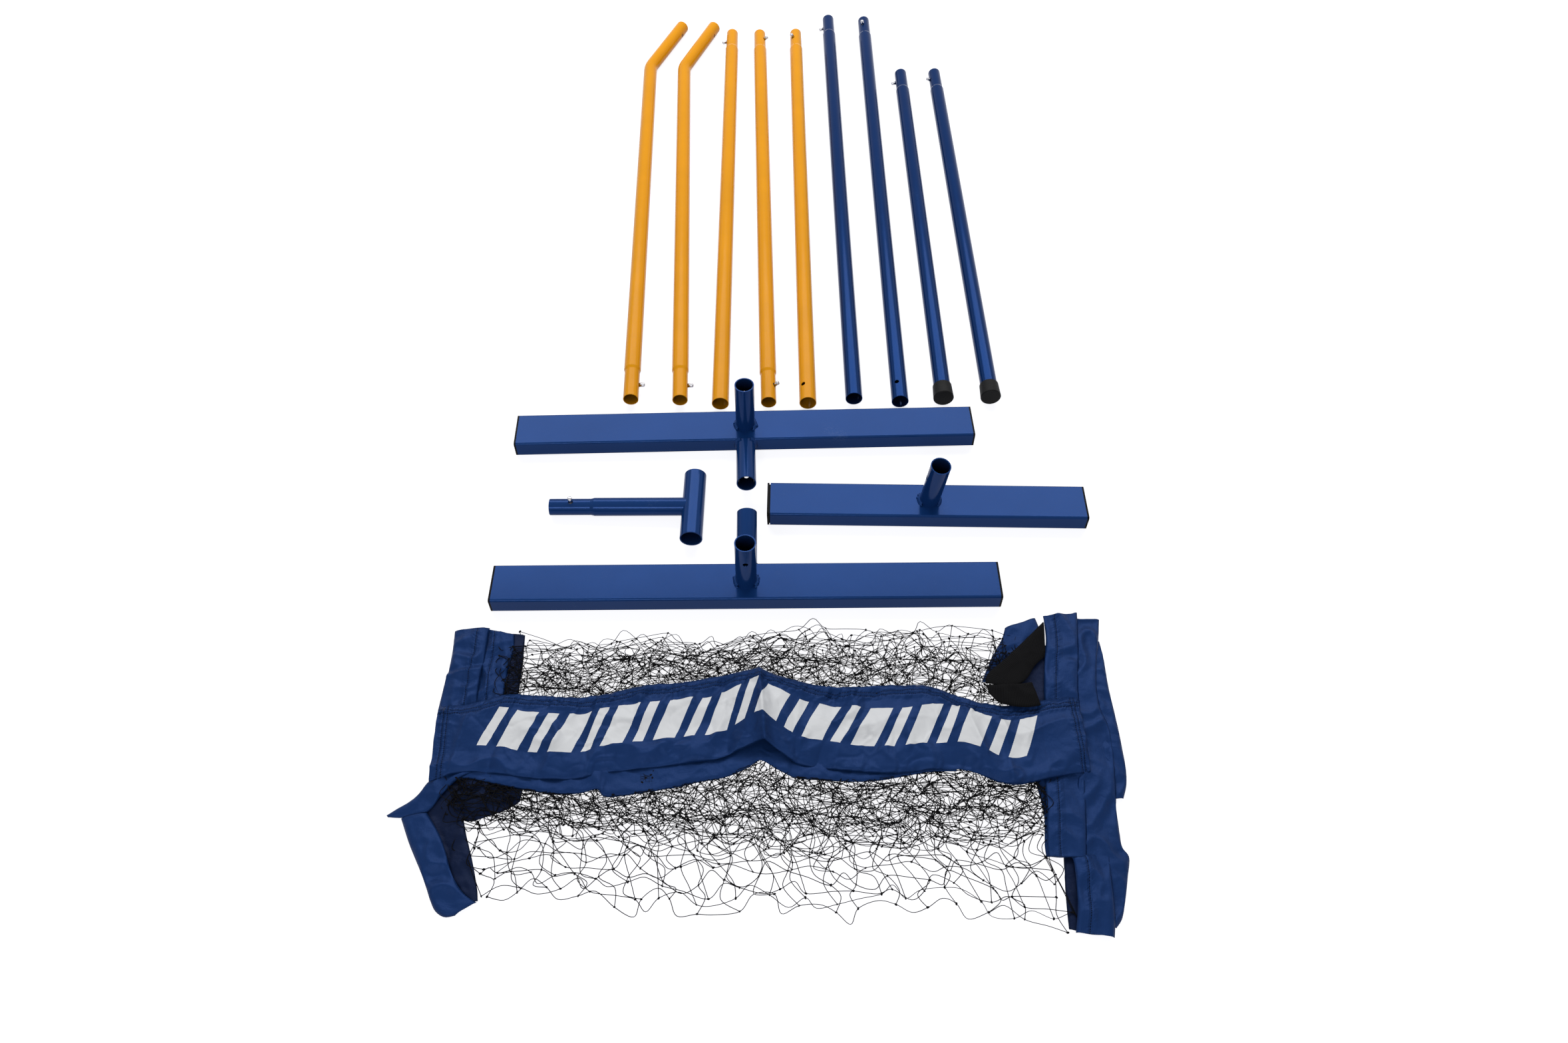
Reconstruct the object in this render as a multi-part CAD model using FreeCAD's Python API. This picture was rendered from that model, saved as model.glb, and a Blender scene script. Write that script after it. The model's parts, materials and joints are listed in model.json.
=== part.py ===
import FreeCAD, Part
import math
import os

from FreeCAD import Placement, Rotation, Vector

# A portable net kit for beach court games, laid out in pieces on a flat floor.
# Five rail poles and four post poles lie side by side at the back. Three welded
# feet and a tee connector lie in front of them, and the folded net is nearest.
# Units are millimetres. X runs to the right, Y to the back, Z is up.
# The origin is on the floor, at the middle of the whole layout.

# Tubes of the poles
POLE_OD = 25.4
POLE_WALL = 1.0
POLE_BORE = POLE_OD - 2.0 * POLE_WALL
PLUG_CLEARANCE = 0.2
REDUCED_OD = POLE_BORE - 2.0 * PLUG_CLEARANCE
REDUCED_BORE = REDUCED_OD - 2.0 * POLE_WALL
REDUCED_LENGTH = 62.0
TAPER_LENGTH = 5.0

# Lengths of the poles
RAIL_POLE_LENGTH = 1062.0
RAIL_MIDDLE_LENGTH = 1058.0
LOWER_POST_LENGTH = 1110.0
UPPER_POST_LENGTH = 900.0
BENT_POLE_STRAIGHT = 924.0
BENT_POLE_ARM = 166.0
BEND_ANGLE = 21.6
BEND_RADIUS = 60.0

# Snap buttons and the leaf springs that carry them
BUTTON_SETBACK = 30.0
BUTTON_DIAMETER = 6.35
BUTTON_PROUD = 9.0
BUTTON_DOME = 2.6
BUTTON_SHOULDER = 2.3
BUTTON_SHOULDER_DROP = 0.8
BUTTON_CROWN = 0.6
BUTTON_GAP = 0.22
SPRING_THICKNESS = 0.8
SPRING_WIDTH = 8.0
SPRING_WALL_GAP = 0.12
SPRING_SLANT = 19.0
SPRING_NOSE = 4.6
SPRING_TIP = 8.0
SPRING_FLAT = 7.0
LATCH_HOLE_DIAMETER = BUTTON_DIAMETER + 0.65

# Rubber caps on the upper post poles
CAP_BORE_GAP = 0.05
CAP_RIM_OD = 28.6
CAP_BASE_OD = 30.6
CAP_SLEEVE = 22.0
CAP_FLOOR = 3.0
CAP_EDGE_RADIUS = 1.2

# Welded feet
BAR_WIDTH = 58.0
BAR_HEIGHT = 25.0
BAR_WALL = 1.5
BAR_CORNER = 3.0
LONG_BAR = 662.0
SHORT_BAR = 435.0
SOCKET_OD = 27.6
SOCKET_WALL = 1.5
SOCKET_BORE = SOCKET_OD - 2.0 * SOCKET_WALL
SOCKET_HEIGHT = 81.5
STUB_LENGTH = 84.5
STUB_RISE = 8.1
STUB_AXIS_HEIGHT = 14.2
SOCKET_HOLE_SETBACK = 28.0
SOCKET_DEBURR_DEPTH = 2.2
SOCKET_DEBURR_WIDTH = 0.7
ROOT_OVERRUN = 8.0
SHORT_FOOT_OFFSET = 2.6
SHORT_FOOT_SIDE_LEAN = 4.6
SHORT_FOOT_FRONT_LEAN = 5.8
WELD_LEG = 3.6
WELD_BITE = 0.5
WELD_SWEEP = 80.0
STUB_WELD_ANGLES = (22.0, 158.0)
CUT_BLOCK = 100.0

# Plastic plugs in the ends of the foot bars
END_PLUG_FLANGE = 2.6
END_PLUG_INSERT = 8.0
END_PLUG_GAP = 0.35
END_PLUG_WALL = 2.0
END_PLUG_CORNER = 1.5
LOOSE_PLUG_PULL = 1.0
LOOSE_PLUG_LEAN = 1.8

# Tee connector
COLLAR_OD = 31.0
COLLAR_WALL = 1.6
COLLAR_BORE = COLLAR_OD - 2.0 * COLLAR_WALL
COLLAR_LENGTH = 112.0
BRANCH_REACH = 199.0

# Middle of the whole layout on the floor, in the frame that the places below use
LAYOUT_MIDDLE = (-0.25, -3.5)

# Where each pole lies: near end, heading left of straight back, turn of its button
RAIL_LEFT_BENT = (-213.9, -167.0, 2.72, 90.0)
RAIL_RIGHT_BENT = (-139.9, -167.5, 3.14, 90.0)
RAIL_LEFT = (-79.1, -174.2, 1.05, -96.5)
RAIL_MIDDLE = (-6.7, -170.3, 1.90, 54.0)
RAIL_RIGHT = (52.2, -171.0, 1.06, -33.0)
POST_LOWER_LEFT = (121.6, -161.0, 1.07, -107.0)
POST_LOWER_RIGHT = (190.8, -166.0, 0.80, -19.0)
POST_UPPER_LEFT = (256.2, -161.5, 0.91, -99.0)
POST_UPPER_RIGHT = (327.5, -158.5, 1.17, -68.0)

# Where each foot and the tee lie: centre and turn about the vertical
REAR_FOOT = (-39.7, -228.2, 2.35)
FRONT_FOOT = (-30.5, -506.5, 181.21)
MIDDLE_FOOT = (216.3, -366.9, -0.21)
TEE = (-108.0, -375.0, 0.0)

# Folded net
NETTING_HEIGHT = 6.0
SOFT_GAP = 0.3
STRAND_WIDTH = 3.2
# Each netting: its corner, the size of one mesh, and how many meshes across and up
UPPER_NETTING = (-297.0, -690.0, 40.4, 43.0)
UPPER_MESHES = (14, 3)
LOWER_NETTING = (-308.0, -934.0, 41.2, 38.6)
LOWER_MESHES = (15, 4)
UNDER_PLY_BASE = NETTING_HEIGHT + SOFT_GAP
UNDER_PLY_EDGE = 2.0
UNDER_PLY_SWELL = 1.4
BAND_BASE = UNDER_PLY_BASE + UNDER_PLY_EDGE + UNDER_PLY_SWELL + SOFT_GAP
UNDER_BAND = BAND_BASE - SOFT_GAP
KNEE_SHARE = 0.25
STRAP_HEIGHT = 7.0

X_AXIS = Vector(1, 0, 0)
Y_AXIS = Vector(0, 1, 0)
Z_AXIS = Vector(0, 0, 1)
ORIGIN = Vector(0, 0, 0)


def save(name, *solids):
    """Write one sub-part, which may be several separate solids."""
    centred = [placed(solid, shift(-LAYOUT_MIDDLE[0], -LAYOUT_MIDDLE[1], 0)) for solid in solids]
    shape = centred[0] if len(centred) == 1 else Part.makeCompound(centred)
    if not shape.isValid():
        raise ValueError(name + " is not a valid solid")
    shape.exportStep(os.path.join("parts", name + ".step"))
    print(name, "solids", len(shape.Solids), "volume", round(shape.Volume, 1))


def placed(shape, placement):
    copy = shape.copy()
    copy.Placement = placement.multiply(copy.Placement)
    return copy


def turn(axis, degrees, centre=ORIGIN):
    return Placement(ORIGIN, Rotation(axis, degrees), centre)


def shift(x, y, z):
    return Placement(Vector(x, y, z), Rotation())


def polygon_face(points):
    return Part.Face(Part.makePolygon(points + [points[0]]))


def holed_face(wires):
    """Face inside the first wire, with the other wires as its holes."""
    return Part.makeFace(wires, "Part::FaceMakerBullseye")


def turned_profile(points):
    """Spin a profile of (x, radius) pairs about the X axis."""
    return polygon_face([Vector(x, 0, r) for x, r in points]).revolve(ORIGIN, X_AXIS, 360)


def wall_hole(diameter, x, reach):
    """A round cutter that leaves the axis upwards through one wall."""
    return Part.makeCylinder(diameter / 2.0, reach, Vector(x, 0, 0), Z_AXIS)


# Poles are drawn along X from their near end, with the button side up


def pole_profile(length, near_reduced, far_reduced):
    """Outline of a pole's wall, with its reduced ends tapered by cold forming."""
    full = POLE_OD / 2.0
    thin = REDUCED_OD / 2.0
    shoulder = REDUCED_LENGTH - TAPER_LENGTH
    outer = []
    if near_reduced:
        outer += [(0.0, thin), (shoulder, thin), (REDUCED_LENGTH, full)]
    else:
        outer += [(0.0, full)]
    if far_reduced:
        outer += [(length - REDUCED_LENGTH, full), (length - shoulder, thin), (length, thin)]
    else:
        outer += [(length, full)]
    inner = [(x, r - POLE_WALL) for x, r in reversed(outer)]
    return outer + inner


def straight_pole(length, near_reduced, far_reduced):
    pole = turned_profile(pole_profile(length, near_reduced, far_reduced))
    near_hole = BUTTON_DIAMETER + 2.0 * BUTTON_GAP if near_reduced else LATCH_HOLE_DIAMETER
    far_hole = BUTTON_DIAMETER + 2.0 * BUTTON_GAP if far_reduced else LATCH_HOLE_DIAMETER
    pole = pole.cut(wall_hole(near_hole, BUTTON_SETBACK, POLE_OD))
    return pole.cut(wall_hole(far_hole, length - BUTTON_SETBACK, POLE_OD))


def capped_pole(length):
    pole = turned_profile(pole_profile(length, False, True))
    hole = BUTTON_DIAMETER + 2.0 * BUTTON_GAP
    return pole.cut(wall_hole(hole, length - BUTTON_SETBACK, POLE_OD))


def bent_lengths():
    """Straight lengths of a bent pole before and after the arc of its bend."""
    set_back = BEND_RADIUS * math.tan(math.radians(BEND_ANGLE / 2.0))
    return BENT_POLE_STRAIGHT - set_back, BENT_POLE_ARM - set_back


def past_the_bend(straight):
    """From a tube drawn along X from the origin to its place behind the bend."""
    bend = turn(Y_AXIS, -BEND_ANGLE, Vector(straight, 0, BEND_RADIUS))
    return bend.multiply(shift(straight, 0, 0))


def bent_pole():
    """A rail end pole: a reduced near end, one bend towards its button side, an open tip."""
    straight, arm = bent_lengths()
    lower = turned_profile(pole_profile(straight, True, False))
    lower = lower.cut(wall_hole(BUTTON_DIAMETER + 2.0 * BUTTON_GAP, BUTTON_SETBACK, POLE_OD))
    ring_centre = Vector(straight, 0, 0)
    ring = holed_face([
        Part.Wire(Part.makeCircle(POLE_OD / 2.0, ring_centre, X_AXIS)),
        Part.Wire(Part.makeCircle(POLE_BORE / 2.0, ring_centre, X_AXIS)),
    ])
    elbow = ring.revolve(Vector(straight, 0, BEND_RADIUS), Vector(0, -1, 0), BEND_ANGLE)
    upper = turned_profile(pole_profile(arm, False, False))
    upper = upper.cut(wall_hole(LATCH_HOLE_DIAMETER, arm - BUTTON_SETBACK, POLE_OD))
    upper = placed(upper, past_the_bend(straight))
    return lower.fuse([elbow, upper]).removeSplitter()


def spring_leg_height():
    """Outer face of the leaf, so that its edges just clear the reduced bore."""
    reach = REDUCED_BORE / 2.0 - SPRING_WALL_GAP
    return math.sqrt(reach ** 2 - (SPRING_WIDTH / 2.0) ** 2)


def button():
    """Snap button: a pin with a rounded head that stands on the spring leaf."""
    seat = spring_leg_height()
    top = REDUCED_OD / 2.0 + BUTTON_PROUD
    radius = BUTTON_DIAMETER / 2.0
    outline = [
        (0.0, seat), (radius, seat), (radius, top - BUTTON_DOME),
        (BUTTON_SHOULDER, top - BUTTON_SHOULDER_DROP), (BUTTON_CROWN, top), (0.0, top),
    ]
    return polygon_face([Vector(r, 0, z) for r, z in outline]).revolve(ORIGIN, Z_AXIS, 360)


def leaf_spring():
    """Folded spring leaf: two legs press on the bore, and the button stands on one of them."""
    seat = spring_leg_height()
    slant = math.radians(SPRING_SLANT)
    nose = SPRING_FLAT + (seat - SPRING_NOSE / 2.0) / math.tan(slant)
    outer = [(-SPRING_TIP, seat), (SPRING_FLAT, seat), (nose, SPRING_NOSE / 2.0)]
    wall = SPRING_THICKNESS
    shortening = wall * math.tan(slant / 2.0)
    inner_nose = SPRING_NOSE / 2.0 - wall * math.tan((math.pi / 2.0 - slant) / 2.0)
    inner = [(-SPRING_TIP, seat - wall), (SPRING_FLAT - shortening, seat - wall),
             (nose - wall, inner_nose)]
    half = outer + [(x, -z) for x, z in reversed(outer)]
    back = inner + [(x, -z) for x, z in reversed(inner)]
    outline = [Vector(x, 0, z) for x, z in half + back[::-1]]
    leaf = polygon_face(outline).extrude(Vector(0, SPRING_WIDTH, 0))
    return placed(leaf, shift(0, -SPRING_WIDTH / 2.0, 0))


def rubber_cap():
    """Push-on cap, closed at x = 0, with a slightly flared skirt."""
    total = CAP_SLEEVE + CAP_FLOOR
    bore = POLE_OD / 2.0 + CAP_BORE_GAP
    base = CAP_BASE_OD / 2.0
    cut = CAP_EDGE_RADIUS
    return turned_profile([
        (0.0, 0.0), (0.0, base - cut), (cut, base), (total, CAP_RIM_OD / 2.0),
        (total, bore), (CAP_FLOOR, bore), (CAP_FLOOR, 0.0),
    ])


def lying(spot, near_radius=POLE_OD / 2.0, tilt=0.0):
    """Placement of a pole drawn along X, for its spot on the floor."""
    x, y, heading, roll = spot
    place = shift(x, y, near_radius)
    place = place.multiply(turn(Z_AXIS, 90.0 + heading))
    place = place.multiply(turn(Y_AXIS, tilt))
    return place.multiply(turn(X_AXIS, roll))


def latch_parts(name, place, x, facing):
    """Button and spring of a reduced end whose opening faces -X (1) or +X (-1)."""
    local = shift(x, 0, 0)
    if facing < 0:
        local = local.multiply(turn(Z_AXIS, 180.0))
    seat = place.multiply(local)
    save("button_" + name, placed(button(), seat))
    save("spring_" + name, placed(leaf_spring(), seat))


def build_rail_poles():
    for name, spot in (("left_bent", RAIL_LEFT_BENT), ("right_bent", RAIL_RIGHT_BENT)):
        place = lying(spot)
        save("rail_pole_" + name, placed(bent_pole(), place))
        latch_parts("rail_" + name, place, BUTTON_SETBACK, 1)
    for name, spot in (("left", RAIL_LEFT), ("right", RAIL_RIGHT)):
        place = lying(spot)
        save("rail_pole_" + name, placed(straight_pole(RAIL_POLE_LENGTH, False, True), place))
        latch_parts("rail_" + name, place, RAIL_POLE_LENGTH - BUTTON_SETBACK, -1)
    place = lying(RAIL_MIDDLE)
    save("rail_pole_middle", placed(straight_pole(RAIL_MIDDLE_LENGTH, True, True), place))
    latch_parts("rail_middle_near", place, BUTTON_SETBACK, 1)
    latch_parts("rail_middle_far", place, RAIL_MIDDLE_LENGTH - BUTTON_SETBACK, -1)


def build_post_poles():
    for name, spot in (("left", POST_LOWER_LEFT), ("right", POST_LOWER_RIGHT)):
        place = lying(spot)
        save("post_pole_lower_" + name, placed(straight_pole(LOWER_POST_LENGTH, False, True), place))
        latch_parts("post_lower_" + name, place, LOWER_POST_LENGTH - BUTTON_SETBACK, -1)
    lift = (CAP_BASE_OD - POLE_OD) / 2.0
    shoulder = UPPER_POST_LENGTH - REDUCED_LENGTH
    tilt = math.degrees(math.asin(lift / shoulder))
    for name, spot in (("left", POST_UPPER_LEFT), ("right", POST_UPPER_RIGHT)):
        place = lying(spot, CAP_BASE_OD / 2.0, tilt)
        inner = place.multiply(shift(CAP_FLOOR, 0, 0))
        save("post_pole_upper_" + name, placed(capped_pole(UPPER_POST_LENGTH), inner))
        save("post_cap_" + name, placed(rubber_cap(), place))
        latch_parts("post_upper_" + name, inner, UPPER_POST_LENGTH - BUTTON_SETBACK, -1)


# Feet are drawn with the bar along X, its middle at the origin and the stub towards -Y


def rounded_rectangle(width, height, corner):
    """Wire in the YZ plane, with its lower edge on z = 0."""
    half = width / 2.0
    turn_in = corner * (1.0 - math.sqrt(0.5))
    edges = [
        Part.makeLine(Vector(0, -half + corner, 0), Vector(0, half - corner, 0)),
        Part.Arc(Vector(0, half - corner, 0), Vector(0, half - turn_in, turn_in),
                 Vector(0, half, corner)).toShape(),
        Part.makeLine(Vector(0, half, corner), Vector(0, half, height - corner)),
        Part.Arc(Vector(0, half, height - corner), Vector(0, half - turn_in, height - turn_in),
                 Vector(0, half - corner, height)).toShape(),
        Part.makeLine(Vector(0, half - corner, height), Vector(0, -half + corner, height)),
        Part.Arc(Vector(0, -half + corner, height), Vector(0, -half + turn_in, height - turn_in),
                 Vector(0, -half, height - corner)).toShape(),
        Part.makeLine(Vector(0, -half, height - corner), Vector(0, -half, corner)),
        Part.Arc(Vector(0, -half, corner), Vector(0, -half + turn_in, turn_in),
                 Vector(0, -half + corner, 0)).toShape(),
    ]
    return Part.Wire(edges)


def raised(wire, x, z):
    copy = wire.copy()
    copy.translate(Vector(x, 0, z))
    return copy


def foot_bar(length):
    inner_width = BAR_WIDTH - 2.0 * BAR_WALL
    inner_height = BAR_HEIGHT - 2.0 * BAR_WALL
    outer = rounded_rectangle(BAR_WIDTH, BAR_HEIGHT, BAR_CORNER)
    inner = rounded_rectangle(inner_width, inner_height, BAR_CORNER - BAR_WALL)
    face = holed_face([raised(outer, -length / 2.0, 0), raised(inner, -length / 2.0, BAR_WALL)])
    return face.extrude(Vector(length, 0, 0))


def cut_corner_rectangle(width, height, corner):
    """Wire in the YZ plane like the one above, with straight cuts across its corners."""
    half = width / 2.0
    corners = [
        (-half + corner, 0), (half - corner, 0), (half, corner), (half, height - corner),
        (half - corner, height), (-half + corner, height), (-half, height - corner),
        (-half, corner),
    ]
    points = [Vector(0, y, z) for y, z in corners]
    return Part.makePolygon(points + [points[0]])


def end_plug():
    """Plug for the bar end at x = 0: its flange towards +X, its insert towards -X."""
    outer = rounded_rectangle(BAR_WIDTH, BAR_HEIGHT, BAR_CORNER)
    flange = Part.Face(outer).extrude(Vector(END_PLUG_FLANGE, 0, 0))
    wall = BAR_WALL + END_PLUG_GAP
    width = BAR_WIDTH - 2.0 * wall
    height = BAR_HEIGHT - 2.0 * wall
    skirt = cut_corner_rectangle(width, height, END_PLUG_CORNER)
    hollow = cut_corner_rectangle(width - 2.0 * END_PLUG_WALL, height - 2.0 * END_PLUG_WALL,
                                  END_PLUG_CORNER)
    face = holed_face([
        raised(skirt, -END_PLUG_INSERT, wall),
        raised(hollow, -END_PLUG_INSERT, wall + END_PLUG_WALL),
    ])
    return flange.fuse(face.extrude(Vector(END_PLUG_INSERT, 0, 0)))


def plug_pair(length, loose_left):
    right = placed(end_plug(), shift(length / 2.0, 0, 0))
    left = placed(end_plug(), turn(Z_AXIS, 180.0))
    if loose_left:
        left = placed(left, turn(Y_AXIS, -LOOSE_PLUG_LEAN, Vector(-END_PLUG_FLANGE, 0, 0)))
        left = placed(left, shift(-LOOSE_PLUG_PULL, 0, 0))
    return placed(left, shift(-length / 2.0, 0, 0)), right


def weld_bead(radius, middle_angle):
    """Part of a fillet weld round an upright tube of this radius, on the plane z = 0."""
    inner = radius - WELD_BITE
    outline = [Vector(inner, 0, 0), Vector(radius + WELD_LEG, 0, 0),
               Vector(radius + WELD_LEG * 0.5, 0, WELD_LEG * 0.8), Vector(inner, 0, WELD_LEG * 1.2)]
    bead = polygon_face(outline).revolve(ORIGIN, Z_AXIS, WELD_SWEEP)
    return placed(bead, turn(Z_AXIS, middle_angle - WELD_SWEEP / 2.0))


def socket_tube(length):
    """Tube up the Z axis whose root runs on below z = 0, to be cut off on the bar's face."""
    return Part.makeCylinder(SOCKET_OD / 2.0, length + ROOT_OVERRUN, Vector(0, 0, -ROOT_OVERRUN))


def socket_cutters(length, hole_direction):
    """Bore, deburred root and latch hole of a socket tube."""
    radius = SOCKET_BORE / 2.0
    bore = Part.makeCylinder(radius, length + 2.0 * ROOT_OVERRUN, Vector(0, 0, -ROOT_OVERRUN))
    flare = SOCKET_DEBURR_WIDTH * (ROOT_OVERRUN + SOCKET_DEBURR_DEPTH) / (2.0 * SOCKET_DEBURR_DEPTH)
    deburr = Part.makeCone(radius + flare, radius, ROOT_OVERRUN + SOCKET_DEBURR_DEPTH,
                           Vector(0, 0, -ROOT_OVERRUN))
    hole = Part.makeCylinder(LATCH_HOLE_DIAMETER / 2.0, SOCKET_OD,
                             Vector(0, 0, length - SOCKET_HOLE_SETBACK), hole_direction)
    return [bore, deburr, hole]


def socket_upright(side_lean, front_lean, hole_direction):
    """Open socket welded on the bar's top face, with its latch hole and weld beads."""
    lean = turn(Y_AXIS, side_lean).multiply(turn(X_AXIS, front_lean))
    beads = [weld_bead(SOCKET_OD / 2.0, angle) for angle in (0.0, 180.0)]
    solid = placed(socket_tube(SOCKET_HEIGHT), lean).fuse(beads)
    cutters = socket_cutters(SOCKET_HEIGHT, hole_direction)
    solid = solid.cut([placed(cutter, lean) for cutter in cutters])
    half = CUT_BLOCK / 2.0
    below = Part.makeBox(CUT_BLOCK, CUT_BLOCK, half, Vector(-half, -half, -half))
    solid = solid.cut(below)
    return placed(solid, shift(0, 0, BAR_HEIGHT))


def stub_placement():
    """From a socket drawn up the Z axis to the stub on the bar's front face."""
    place = shift(0, -BAR_WIDTH / 2.0, STUB_AXIS_HEIGHT)
    return place.multiply(turn(X_AXIS, 90.0 - STUB_RISE))


def socket_stub():
    """Open socket welded on the bar's front face, rising towards its mouth."""
    place = stub_placement()
    on_face = shift(0, -BAR_WIDTH / 2.0, STUB_AXIS_HEIGHT).multiply(turn(X_AXIS, 90.0))
    beads = [placed(weld_bead(SOCKET_OD / 2.0, angle), on_face) for angle in STUB_WELD_ANGLES]
    solid = placed(socket_tube(STUB_LENGTH), place).fuse(beads)
    cutters = socket_cutters(STUB_LENGTH, Vector(0, -1, 0))
    solid = solid.cut([placed(cutter, place) for cutter in cutters])
    half = CUT_BLOCK / 2.0
    behind = Part.makeBox(CUT_BLOCK, CUT_BLOCK, CUT_BLOCK, Vector(-half, -BAR_WIDTH / 2.0, -half))
    return solid.cut(behind)


def foot_place(spot):
    x, y, angle = spot
    return shift(x, y, 0).multiply(turn(Z_AXIS, angle))


def build_feet():
    feet = (
        ("rear", REAR_FOOT, LONG_BAR, 0.0, 0.0, Vector(0, 1, 0), True),
        ("front", FRONT_FOOT, LONG_BAR, 0.0, 0.0, Vector(0, 1, 0), True),
        ("middle", MIDDLE_FOOT, SHORT_BAR, SHORT_FOOT_SIDE_LEAN, SHORT_FOOT_FRONT_LEAN,
         Vector(-1, 0, 0), False),
    )
    for name, spot, length, side_lean, front_lean, hole_direction, has_stub in feet:
        place = foot_place(spot)
        upright = socket_upright(side_lean, front_lean, hole_direction)
        if not has_stub:
            upright = placed(upright, shift(SHORT_FOOT_OFFSET, 0, 0))
        save(name + "_foot_bar", placed(foot_bar(length), place))
        save(name + "_foot_upright", placed(upright, place))
        if has_stub:
            save(name + "_foot_stub", placed(socket_stub(), place))
        plugs = [placed(plug, place) for plug in plug_pair(length, name == "middle")]
        save(name + "_foot_end_plugs", *plugs)


# The tee lies on its collar and on the shoulder of its branch


def build_tee():
    """Collar along Y, with the branch reaching towards -X from its middle."""
    axis_height = COLLAR_OD / 2.0
    shoulder = BRANCH_REACH - REDUCED_LENGTH
    drop = math.degrees(math.asin((COLLAR_OD - POLE_OD) / 2.0 / shoulder))
    x, y, angle = TEE
    place = shift(x, y, axis_height).multiply(turn(Z_AXIS, angle))
    collar = Part.makeCylinder(COLLAR_OD / 2.0, COLLAR_LENGTH,
                               Vector(0, -COLLAR_LENGTH / 2.0, 0), Y_AXIS)
    bore = Part.makeCylinder(COLLAR_BORE / 2.0, COLLAR_LENGTH,
                             Vector(0, -COLLAR_LENGTH / 2.0, 0), Y_AXIS)
    save("tee_collar", placed(collar.cut(bore), place))
    branch = turned_profile(pole_profile(BRANCH_REACH, True, False))
    branch = branch.cut(wall_hole(BUTTON_DIAMETER + 2.0 * BUTTON_GAP, BUTTON_SETBACK, POLE_OD))
    along = shift(-BRANCH_REACH, 0, 0)
    local = turn(Y_AXIS, -drop).multiply(along)
    branch = placed(branch, local).cut(collar)
    save("tee_branch", placed(branch, place))
    latch_parts("tee", place.multiply(local), BUTTON_SETBACK, 1)


# Cloth pieces are ruled lofts through crowned sections


def crowned_section(station, base):
    """Closed section between two floor points: flat below, two edges, an arc on top."""
    (xa, ya), (xb, yb), edge, crown = station
    a_low = Vector(xa, ya, base)
    b_low = Vector(xb, yb, base)
    a_top = Vector(xa, ya, base + edge)
    b_top = Vector(xb, yb, base + edge)
    middle = Vector((xa + xb) / 2.0, (ya + yb) / 2.0, base + crown)
    return Part.Wire([
        Part.makeLine(a_low, b_low),
        Part.makeLine(b_low, b_top),
        Part.Arc(b_top, middle, a_top).toShape(),
        Part.makeLine(a_top, a_low),
    ])


def folded_section(station, base):
    """Closed section like the one above, with a flat top between two knees."""
    (xa, ya), (xb, yb), edge, crown = station
    a = Vector(xa, ya, base)
    b = Vector(xb, yb, base)
    up = Vector(0, 0, 1)
    a_knee = a + (b - a) * KNEE_SHARE + up * crown
    b_knee = b + (a - b) * KNEE_SHARE + up * crown
    return Part.makePolygon([a, b, b + up * edge, b_knee, a_knee, a + up * edge, a])


def cloth(stations, base=0.0, section=crowned_section):
    sections = [section(station, base) for station in stations]
    return Part.makeLoft(sections, True, True)


def strip(stations):
    """Narrow flat-topped length of cloth that lies on the floor."""
    return cloth(stations, 0.0, folded_section)


def netting(spot, meshes):
    """Flat net of diamond gaps: one holed face, as high as the heap of layers."""
    x0, y0, pitch, height = spot
    columns, rows = meshes
    half = STRAND_WIDTH / 2.0
    slanted_half = half * math.sqrt(2.0)

    def diamond(cx, cy):
        dx = pitch / 2.0 - slanted_half
        dy = height / 2.0 - slanted_half
        corners = [(cx - dx, cy), (cx, cy - dy), (cx + dx, cy), (cx, cy + dy)]
        points = [Vector(x, y, 0) for x, y in corners]
        return Part.makePolygon(points + [points[0]])

    gaps = []
    for row in range(rows):
        for column in range(columns):
            gaps.append(diamond(x0 + (column + 0.5) * pitch, y0 + (row + 0.5) * height))
    for row in range(rows - 1):
        for column in range(columns - 1):
            gaps.append(diamond(x0 + (column + 1.0) * pitch, y0 + (row + 1.0) * height))

    lower = []
    for column in range(columns):
        lower.append((x0 + column * pitch, y0 + height / 2.0 - half))
        lower.append((x0 + (column + 0.5) * pitch, y0 - half))
    right = []
    for row in range(rows):
        right.append((x0 + columns * pitch + half, y0 + (row + 0.5) * height))
        right.append((x0 + columns * pitch - pitch / 2.0 + half, y0 + (row + 1.0) * height))
    right = right[:-1]
    top = y0 + rows * height
    upper = []
    for column in reversed(range(columns)):
        upper.append((x0 + (column + 0.5) * pitch, top + half))
        upper.append((x0 + column * pitch, top - height / 2.0 + half))
    upper = upper[:-1]
    left = []
    for row in reversed(range(rows)):
        left.append((x0 - half, y0 + (row + 0.5) * height))
        left.append((x0 + pitch / 2.0 - half, y0 + row * height))
    left = left[:-1]
    outline = [Vector(x, y, 0) for x, y in lower[1:] + right + upper + left]
    border = Part.makePolygon(outline + [outline[0]])
    return holed_face([border] + gaps).extrude(Vector(0, 0, NETTING_HEIGHT))


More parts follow.
